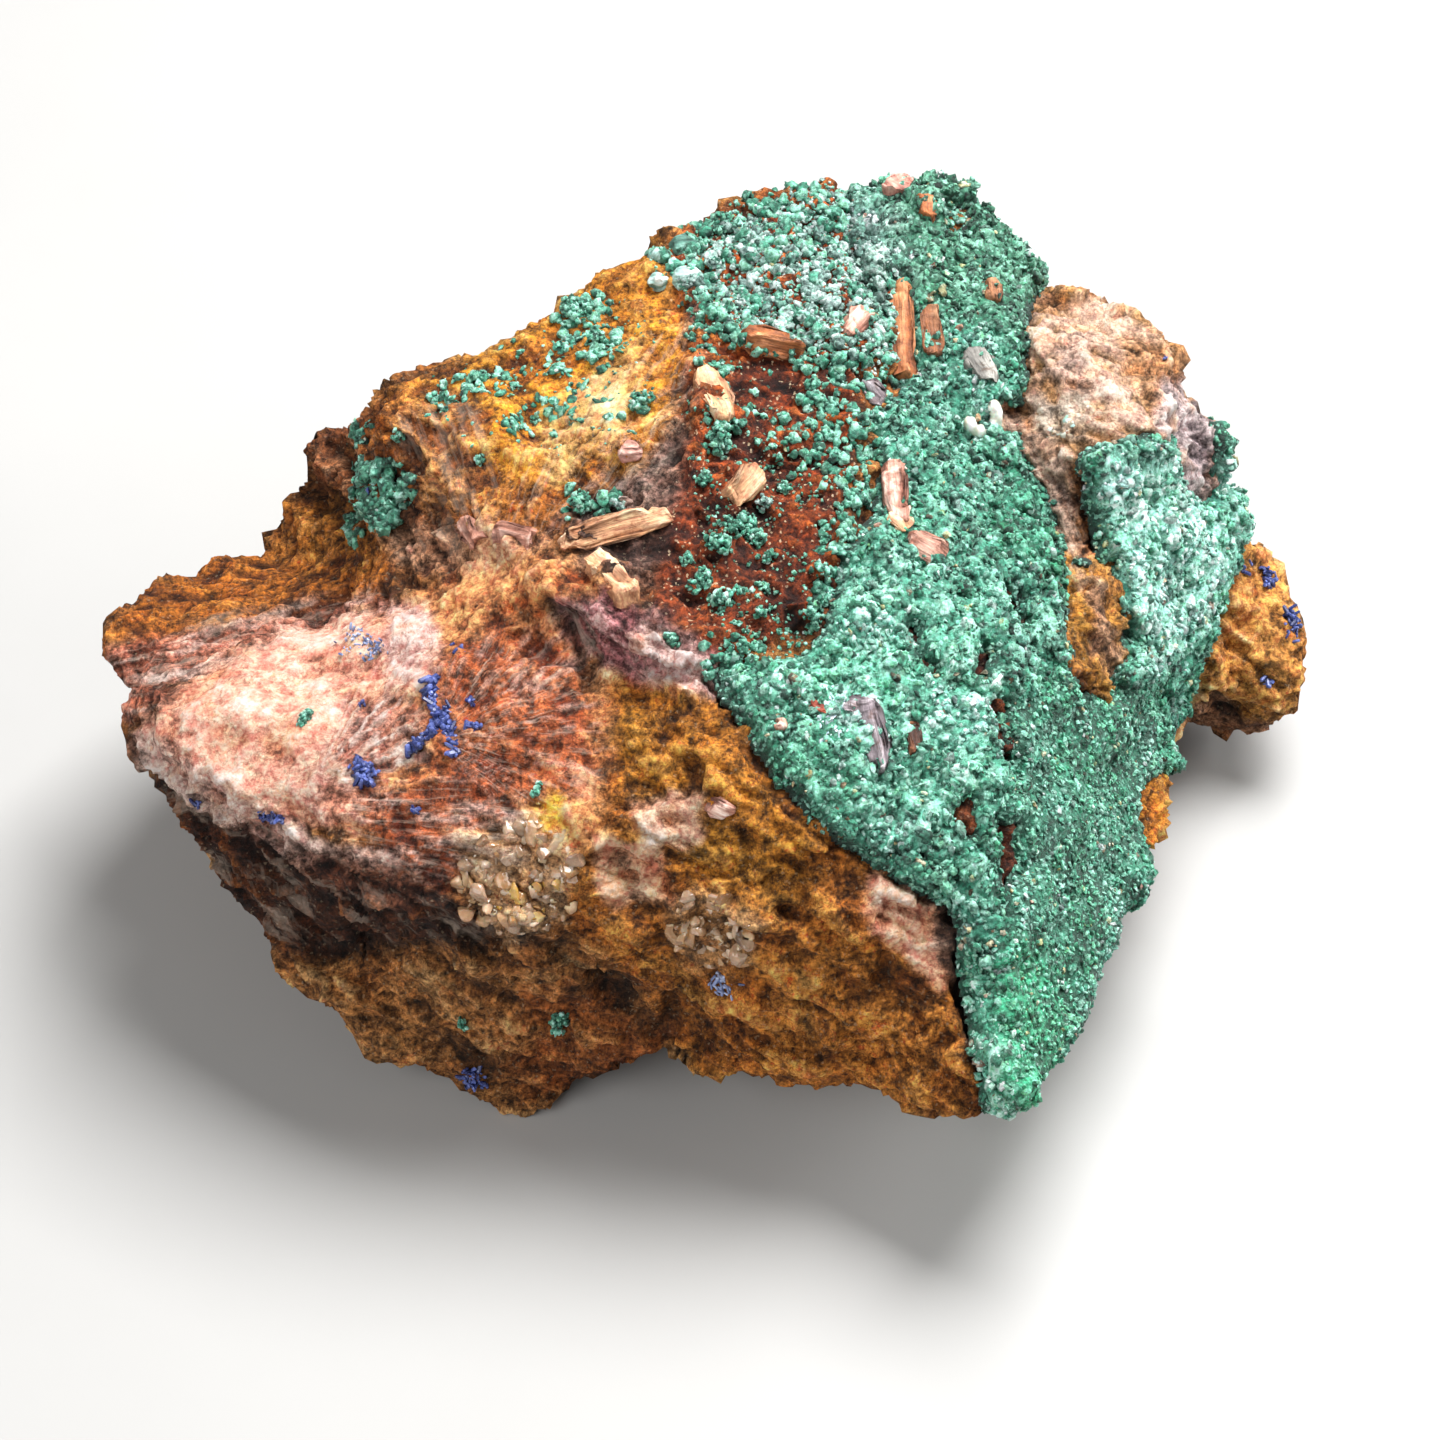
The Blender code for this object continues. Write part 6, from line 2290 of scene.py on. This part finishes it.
@dataclass
class SparBlades:
    """Every spar blade and flake."""

    finish: SparFinish = field(default_factory=SparFinish)
    seed: int = 57
    chip_mm: float = 0.2
    striae_mm: float = 0.16
    upper: float = 0.75
    lower: float = 2.0

    def build(self, tree: BVHTree) -> None:
        """Make every blade as a piece of one mesh.

        Args:
            tree: the rock and crust, to land on.
        """
        net, triangles = ball_net(4)
        points, colours, grains = [], [], []
        for index, blade in enumerate(BLADES):
            shape, colour, grain = self.shaped(blade, net, tree, index)
            points.append(shape)
            colours.append(colour)
            grains.append(grain)
        Piece("spar_blades", np.concatenate(points), copied(triangles, len(BLADES), len(net)),
              np.concatenate(colours), "matrix", self.finish.material(), None,
              np.concatenate(grains)).build()

    def shaped(self, blade: Blade, net: Array, tree: BVHTree,
               index: int) -> tuple[Array, Array, Array]:
        """One blade.

        Ball directions are squared off: each part keeps its sign and is raised to the
        squareness, then the whole is scaled by half the length, width and rise. The ends
        are tapered, cells of noise chip the top, and the lower half is made twice as deep.
        The blade is lifted by the mean height of six stations of its bed over the line
        between its ends.

        Args:
            blade: its spots and sizes.
            net: ball directions.
            tree: what it lies on.
            index: picks its noise.

        Returns:
            Points in metres, colours, and fibre counts.
        """
        (start, up_start), (end, up_end) = landed(tree, blade.start), landed(tree, blade.end)
        along, middle = end - start, (start + end) / 2
        half = np.linalg.norm(along) / 2 / MM
        along = unit(along)
        up = unit(up_start + up_end)
        up = unit(up - along * (up @ along))
        across = np.cross(up, along)
        square = np.sign(net) * np.abs(net) ** blade.squareness
        square /= np.max(np.abs(square), axis=0)
        taper = 1 - 0.35 * np.abs(square[:, 0]) ** 2 + 0.2 * Noise.value(square * 1.1 + index, 5)
        local = np.stack([
            square[:, 0] * half, square[:, 1] * blade.width_mm / 2 * taper,
            square[:, 2] * blade.rise_mm,
        ], axis=-1)
        shift = np.stack([Noise.fractal(local / 0.9 + index * 5.3, 3, 910 + axis)
                          for axis in range(3)], axis=-1)
        striae = Noise.fractal(np.stack([local[:, 1] / 0.28, local[:, 0] / 3.0,
                                         np.full(len(net), index * 3.1)], axis=-1), 3, 930)
        near, second, owner = Noise.cells(local / np.array([1.7, 0.6, 0.7]) + index * 7, 77)
        chip = (owner * 2 - 1) * smooth_step(0, 0.2, second - near) * (square[:, 2] > 0)
        local = local + shift * blade.rough_mm
        local[:, 2] += chip * self.chip_mm
        local[:, 2] += striae * self.striae_mm * (square[:, 2] > 0)
        local[:, 2] *= np.where(square[:, 2] > 0, self.upper, self.lower)
        bed = np.array([landed(tree, tuple(SIGHT.grid((start + (end - start) * step)[None])[0]))[0]
                        for step in np.linspace(0.15, 0.85, 6)])
        middle = middle + up * max(0, float(np.mean((bed - middle) @ up)))
        world = middle + (local[:, :1] * along + local[:, 1:2] * across + local[:, 2:] * up) * MM
        # Painted light: the top of a blade is made lighter, with striae and chips.
        height = striae * 0.7 + shift[:, 2] * 0.6 + square[:, 2] * 0.3 + chip * 0.4 - 0.2
        colour = Painter.shaded(blade.tones.rows(), height)
        grain = np.stack([local[:, 1] / 0.2, local[:, 0] / 2.2, local[:, 2] / 0.6 + index],
                         axis=-1)
        return world, colour, grain


@dataclass(frozen=True)
class Spray:
    """A line of azurite crystals between two grid spots."""

    start: Spot
    end: Spot
    spread_mm: float
    count: int
    size_mm: float
    nodes: str = ""
    tones: Tones = Tones("101632", "242f66", "5a68a8")


DUSTY_BLUE = Tones("3c4468", "6c7aa4", "a8b4d4")

SPRAYS = (
    Spray((430, 682), (437, 722), 0.26, 60, 0.46, "azurite_spray"),
    Spray((414, 750), (437, 726), 0.28, 56, 0.46, "azurite_spray"),
    Spray((438, 718), (456, 752), 0.3, 60, 0.46, "azurite_spray"),
    Spray((446, 706), (448, 716), 0.22, 14, 0.36, "azurite_spray"),
    Spray((468, 726), (477, 728), 0.16, 22, 0.36, "azurite_spray"),
    Spray((361, 768), (366, 782), 0.34, 60, 0.46, "azurite_knob"),
    Spray((350, 638), (376, 650), 0.5, 90, 0.24, "azurite_patch", DUSTY_BLUE),
    Spray((262, 814), (282, 818), 0.24, 40, 0.36, "azurite_ridge"),
    Spray((466, 1074), (480, 1084), 0.4, 48, 0.36, "azurite_foot"),
    Spray((1266, 570), (1270, 586), 0.26, 30, 0.4, "azurite_lobe_high"),
    Spray((1242, 566), (1246, 570), 0.22, 6, 0.4, "azurite_lobe_high"),
    Spray((1288, 612), (1294, 634), 0.28, 40, 0.4, "azurite_lobe_low"),
    Spray((1264, 678), (1270, 682), 0.22, 7, 0.4, "azurite_lobe_low"),
    Spray((194, 802), (197, 806), 0.14, 5, 0.35), Spray((413, 811), (417, 813), 0.16, 6, 0.38),
    Spray((367, 491), (369, 494), 0.14, 5, 0.36), Spray((1164, 357), (1167, 360), 0.12, 4, 0.3),
    Spray((448, 646), (462, 652), 0.3, 7, 0.3), Spray((716, 976), (730, 990), 0.4, 34, 0.32, "", DUSTY_BLUE),
    Spray((470, 700), (474, 706), 0.16, 5, 0.36), Spray((362, 700), (364, 704), 0.14, 4, 0.36),
)


@dataclass
class Azurite:
    """Sprays of small wedge-ended azurite prisms."""

    finish: AzuriteFinish = field(default_factory=AzuriteFinish)
    seed: int = 73
    stoutness: float = 0.42

    def build(self, tree: BVHTree) -> None:
        """Make one piece for each node's sprays, and one for the rest.

        Args:
            tree: the rock and crust, to land on.
        """
        dice = np.random.default_rng(self.seed)
        material = self.finish.material()
        net, triangles = self.net()
        for node in dict.fromkeys(spray.nodes for spray in SPRAYS):
            points, colours = [], []
            for spray in (each for each in SPRAYS if each.nodes == node):
                shape, colour = self.sprayed(spray, tree, dice)
                points.append(shape)
                colours.append(colour)
            points = np.concatenate(points)
            every = copied(triangles, len(points) // len(net), len(net))
            name = node.replace("azurite", "crystals") if node else "crystals_scattered"
            piece = Piece(name, points, every, np.concatenate(colours), "azurite",
                          material, smooth=False)
            piece.build(*([node] if node else []))

    @staticmethod
    def net() -> tuple[Array, Array]:
        """One crystal: a six-sided prism along the third axis, each end a roof ridge.

        Returns:
            Its 16 points and its triangles.
        """
        turn = np.arange(6) * np.pi / 3
        ring = np.stack([np.cos(turn), np.sin(turn) * 0.7], axis=-1)
        low = np.column_stack([ring, np.full(6, -0.72)])
        high = np.column_stack([ring, np.full(6, 0.72)])
        roof = np.array([[-0.45, 0, 1.0], [0.45, 0, 1.0]])
        base = roof * np.array([1, 1, -1])
        points = np.concatenate([low, high, roof, base])
        nxt = (np.arange(6) + 1) % 6
        here = np.arange(6)
        sides = np.concatenate([
            np.stack([here, nxt, nxt + 6], axis=-1), np.stack([here, nxt + 6, here + 6], axis=-1),
        ])
        top = np.array([[6, 7, 13], [7, 8, 13], [8, 12, 13], [8, 9, 12], [9, 10, 12],
                        [10, 11, 12], [11, 13, 12], [11, 6, 13]])
        bottom = np.where(top >= 12, top + 2, top - 6)[:, ::-1]
        return points, np.concatenate([sides, top, bottom])

    def sprayed(self, spray: Spray, tree: BVHTree, dice: np.random.Generator) -> tuple:
        """One spray's crystals, strewn along its line and leaning out from it.

        Args:
            spray: its line, spread and count.
            tree: what it sits on.
            dice: the random numbers.

        Returns:
            Points in metres and colours.
        """
        (start, up_start), (end, up_end) = landed(tree, spray.start), landed(tree, spray.end)
        up = unit(up_start + up_end)
        share = dice.uniform(-0.05, 1.05, spray.count)[:, None]
        off = dice.normal(0, spray.spread_mm, (spray.count, 3)) * MM
        off -= (off @ up)[:, None] * up
        middles = start + (end - start) * share + off
        lean = unit(dice.normal(size=(spray.count, 3)) + up * 0.5)
        side, cross = frames_about(lean, dice)
        length = (spray.size_mm * dice.uniform(0.6, 1.25, spray.count) * MM)[:, None, None]
        net, _ = self.net()
        body = (
            side[:, None] * net[None, :, :1] * self.stoutness
            + cross[:, None] * net[None, :, 1:2] * self.stoutness
            + lean[:, None] * net[None, :, 2:]
        )
        points = middles[:, None] + up * length * 0.25 + body * length
        # Painted light: the upper part of each crystal is lighter.
        rise = np.clip((body @ up) * 0.9 + dice.uniform(-0.5, 0.5, (spray.count, 1)), -1, 1)
        colour = Painter.shaded(spray.tones.rows(), rise.ravel())
        return points.reshape(-1, 3), colour


@dataclass(frozen=True)
class GrainPatch:
    """Quartz grains strewn over one part of the rock."""

    name: str
    outline: Outline
    count: int
    low_mm: float
    high_mm: float
    tones: Tones
    other: Tones


STRAW = Tones("64442a", "a87e54", "dcba92")
HONEY = Tones("6a4414", "b0822e", "e0bc74")
SMOKE = Tones("54402f", "9a7e66", "d4baa4")
CHALK = Tones("84949c", "bccad2", "ecf4f8")


GRAIN_PATCHES = (
    GrainPatch("upper_quartz", path(
        "478,838 520,812 560,830 584,868 574,910 530,944 482,926 454,892"
    ), 130, 0.35, 1.0, SMOKE, STRAW),
    GrainPatch("yellow_quartz", path(
        "536,796 560,800 556,828 540,828"
    ), 12, 0.25, 0.55, HONEY, HONEY),
    GrainPatch("honey_quartz", path("500,890 560,880 552,925 510,935"), 26, 0.3, 0.8, HONEY, STRAW),
    GrainPatch("low_quartz", path(
        "672,915 715,898 754,922 750,962 700,968 668,945"
    ), 64, 0.35, 1.0, STRAW, SMOKE),
    GrainPatch("boss_quartz", path(
        "1042,405 1068,408 1074,432 1046,438"
    ), 14, 0.3, 0.6, SMOKE, FROST),
    GrainPatch("white_grains", path(
        "818,706 842,700 850,724 838,758 822,750"
    ), 60, 0.2, 0.5, CHALK, CHALK),
    GrainPatch("white_upper", path("816,682 838,680 838,702 820,702"), 20, 0.2, 0.45, CHALK, CHALK),
    GrainPatch("pale_grains", path("758,672 802,668 808,694 776,692"), 34, 0.2, 0.45, FROST, CHALK),
)


@dataclass
class QuartzGrains:
    """Glassy and chalky grains, each cut by random flats."""

    finish: QuartzFinish = field(default_factory=QuartzFinish)
    seed: int = 91
    flats: int = 13
    pressed: float = 0.4
    sunk: float = 0.62

    def build(self, tree: BVHTree) -> None:
        """Make every patch's grains as one mesh.

        Args:
            tree: the rock and crust, to land on.
        """
        dice = np.random.default_rng(self.seed)
        net, triangles = ball_net(3)
        points, colours = [], []
        for patch in GRAIN_PATCHES:
            for spot in self.spots(patch, dice):
                shape, height = self.cut(net, patch, landed(tree, spot), dice)
                rows = patch.tones.rows()
                rows = rows + (patch.other.rows() - rows) * dice.random()
                points.append(shape)
                colours.append(Painter.shaded(rows, height))
        Piece("quartz_grains", np.concatenate(points), copied(triangles, len(points), len(net)),
              np.concatenate(colours), "matrix", self.finish.material(), smooth=False).build()

    @staticmethod
    def spots(patch: GrainPatch, dice: np.random.Generator) -> list[Spot]:
        """Random grid spots inside the patch.

        Args:
            patch: where, and how many.
            dice: the random numbers.

        Returns:
            The spots.
        """
        corners = np.array(patch.outline, dtype=float)
        low, high = corners.min(axis=0), corners.max(axis=0)
        tries = dice.uniform(low, high, (patch.count * 6, 2))
        return [tuple(spot) for spot in tries[inside_by(tries, patch.outline) > 0][:patch.count]]

    def cut(self, net: Array, patch: GrainPatch, place: tuple[Array, Array],
            dice: np.random.Generator) -> tuple[Array, Array]:
        """One grain: each direction reaches out to the nearest of the random flats.

        The grain is pressed flatter along the normal and sunk into the surface.

        Args:
            net: ball directions.
            patch: the sizes.
            place: where it sits and the normal there.
            dice: the random numbers.

        Returns:
            Points in metres and height from -1 to 1.
        """
        flats = unit(dice.normal(size=(self.flats, 3)))
        depths = dice.uniform(0.62, 1.0, self.flats)
        across = net @ flats.T
        reach = np.min(np.where(across > 0.05, depths / np.maximum(across, 0.05), 9.0), axis=1)
        size = dice.uniform(patch.low_mm, patch.high_mm) * MM
        spot, normal = place
        shape = net * np.minimum(reach, 1.3)[:, None] * dice.uniform(0.7, 1.15, 3) * size
        shape -= np.outer(shape @ normal, normal) * self.pressed
        # Painted light: the side towards the normal is lighter.
        height = net @ normal * 0.5 + dice.uniform(-0.55, 0.4)
        return spot - normal * size * self.sunk + shape, height


@dataclass
class ChalkRing:
    """The open white ring beside the bare boss: a tube along most of a circle."""

    spot: Spot = (978, 413)
    radius_mm: float = 1.1
    tube_mm: float = 0.5
    gap_deg: float = 78.0
    turns: int = 64
    rounds: int = 20
    tones: Tones = Tones("8c8c78", "d4d4c4", "fbfbf6")

    def build(self, tree: BVHTree, material: bpy.types.Material) -> None:
        """Make the ring.

        Its points run round the circle by one angle and round the tube by the other. The
        tube's thickness wanders by noise and shrinks to nothing at both ends.

        Args:
            tree: the rock and crust, to land on.
            material: its finish.
        """
        spot, up = landed(tree, self.spot)
        side = unit(np.cross(up, [0.0, 1.0, 0.0]))
        ahead = np.cross(up, side)
        gap = math.radians(self.gap_deg)
        turn = np.linspace(gap, 2 * np.pi - gap / 3, self.turns)[:, None]
        around = np.linspace(0, 2 * np.pi, self.rounds, endpoint=False)[None]
        share = np.linspace(0, 1, self.turns)[:, None]
        thick = self.tube_mm * np.sqrt(np.clip(1 - (2 * share - 1) ** 8, 0, 1))
        rows = np.stack(np.broadcast_arrays(np.cos(turn) * 2, np.sin(turn) * 2,
                                            around * 0.6), axis=-1).reshape(-1, 3)
        thick = thick * (1 + 0.22 * Noise.fractal(rows, 2, 17).reshape(self.turns, self.rounds))
        reach = self.radius_mm + thick * np.cos(around)
        flat = side * (reach * np.cos(turn))[..., None] - ahead * (reach * np.sin(turn))[..., None]
        lift = up * (thick * np.sin(around) + self.tube_mm * 1.7)[..., None]
        points = (spot + (flat + lift) * MM).reshape(-1, 3)
        here = np.arange(self.turns - 1)[:, None] * self.rounds + np.arange(self.rounds)[None]
        over = np.roll(here, -1, axis=1)
        cells = np.stack([here, here + self.rounds, over + self.rounds, over], axis=-1)
        cells = cells.reshape(-1, 4)
        triangles = np.concatenate([cells[:, [0, 1, 2]], cells[:, [0, 2, 3]]])
        middle = Surface.of(points, triangles)
        inward = np.sum(middle.normals[0] * (points[0] - points[:self.rounds].mean(axis=0)))
        if inward < 0:
            triangles = triangles[:, ::-1]
        # Painted light: the top of the tube is lighter, its underside darker.
        height = np.broadcast_to(np.sin(around), thick.shape).ravel() * 0.6
        height = height + Noise.fractal(points / MM / 0.4, 2, 19) * 0.5
        Piece("chalk_ring", points, triangles, Painter.shaded(self.tones.rows(), height),
              "matrix", material).build()


@dataclass(frozen=True)
class Lamp:
    """One soft square light."""

    name: str
    place_mm: tuple[float, float, float]
    size_mm: float
    power_w: float
    colour: tuple[float, float, float] = (1.0, 1.0, 1.0)


@dataclass
class Studio:
    """The pale floor, the soft lights and the camera."""

    floor_mm: float = 3000.0
    floor_dark: tuple[float, ...] = (0.40, 0.395, 0.385, 1)
    floor_light: tuple[float, ...] = (0.43, 0.425, 0.415, 1)
    ambient: float = 0.2
    lamps: tuple[Lamp, ...] = (
        Lamp("key", (120.0, 170.0, 420.0), 260.0, 4.6),
        Lamp("fill", (-260.0, -260.0, 260.0), 320.0, 1.2),
        Lamp("rim", (330.0, 60.0, 160.0), 200.0, 0.9),
    )

    def build(self) -> None:
        """Set up everything around the specimen."""
        self.floor()
        for lamp in self.lamps:
            self.light(lamp)
        self.sky()
        self.camera()
        bpy.context.scene.view_settings.view_transform = "Standard"

    def floor(self) -> None:
        """A plain pale floor, matt, with a very faint mottle."""
        half = self.floor_mm / 2 * MM
        points = np.array([[-half, -half, 0], [half, -half, 0], [half, half, 0], [-half, half, 0]])
        mesh = mesh_of("floor", points, np.array([[0, 1, 2], [0, 2, 3]]), False)
        bench = Bench("pale_floor")
        mottle = bench.noise(bench.place(), 40.0, 4)
        colour = bench.blend("MIX", mottle, self.floor_dark, self.floor_light)
        bench.feed(bench.shader, "Base Color", colour)
        bench.feed(bench.shader, "Roughness", 0.62)
        mesh.materials.append(bench.material)
        thing = bpy.data.objects.new("floor", mesh)
        bpy.context.scene.collection.objects.link(thing)

    @staticmethod
    def light(lamp: Lamp) -> None:
        """One area light, aimed at the specimen.

        Args:
            lamp: its place, size and power.
        """
        data = bpy.data.lights.new(lamp.name, "AREA")
        data.size = lamp.size_mm * MM
        data.energy = lamp.power_w
        data.color = lamp.colour
        thing = bpy.data.objects.new(lamp.name, data)
        thing.location = Vector(lamp.place_mm) * MM
        aim = Vector((0, 0, 0.015)) - thing.location
        thing.rotation_euler = aim.to_track_quat("-Z", "Y").to_euler()
        bpy.context.scene.collection.objects.link(thing)

    def sky(self) -> None:
        """Even, soft light from all round."""
        world = bpy.data.worlds.new("studio")
        world.use_nodes = True
        back = world.node_tree.nodes["Background"]
        back.inputs["Color"].default_value = (1, 1, 1, 1)
        back.inputs["Strength"].default_value = self.ambient
        bpy.context.scene.world = world

    @staticmethod
    def camera() -> None:
        """The camera at the sighting viewpoint."""
        data = bpy.data.cameras.new("camera")
        data.lens = SIGHT.lens_mm
        data.sensor_width = SIGHT.sensor_mm
        thing = bpy.data.objects.new("camera", data)
        thing.location = Vector(SIGHT.eye())
        thing.rotation_euler = (math.radians(90 - SIGHT.raised_deg), 0, 0)
        bpy.context.scene.collection.objects.link(thing)
        bpy.context.scene.camera = thing


def joined(first: Surface, second: Surface) -> Surface:
    """Two surfaces as one, the second's point numbers moved past the first's.

    Args:
        first: one surface.
        second: the other.

    Returns:
        The joined surface.
    """
    return Surface(
        np.concatenate([first.points, second.points]),
        np.concatenate([first.triangles, second.triangles + len(first.points)]),
        np.concatenate([first.normals, second.normals]),
    )


def main() -> None:
    """Build the specimen on its frame, then the studio."""
    logging.basicConfig(level=logging.INFO, format="%(message)s")
    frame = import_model()
    rock_node = frame["nodes"]["matrix_rock"]
    rock = HostRock(rock_node).build()
    crust = MalachiteCrust(rock_node).build()
    tree = joined(rock, crust).tree()
    MalachiteTufts(bpy.data.materials["malachite_velvet"]).build(rock, crust, tree)
    SparBlades().build(tree)
    Azurite().build(tree)
    QuartzGrains().build(tree)
    ChalkRing().build(tree, bpy.data.materials["cloudy_quartz"])
    Studio().build()


if __name__ == "__main__":
    main()
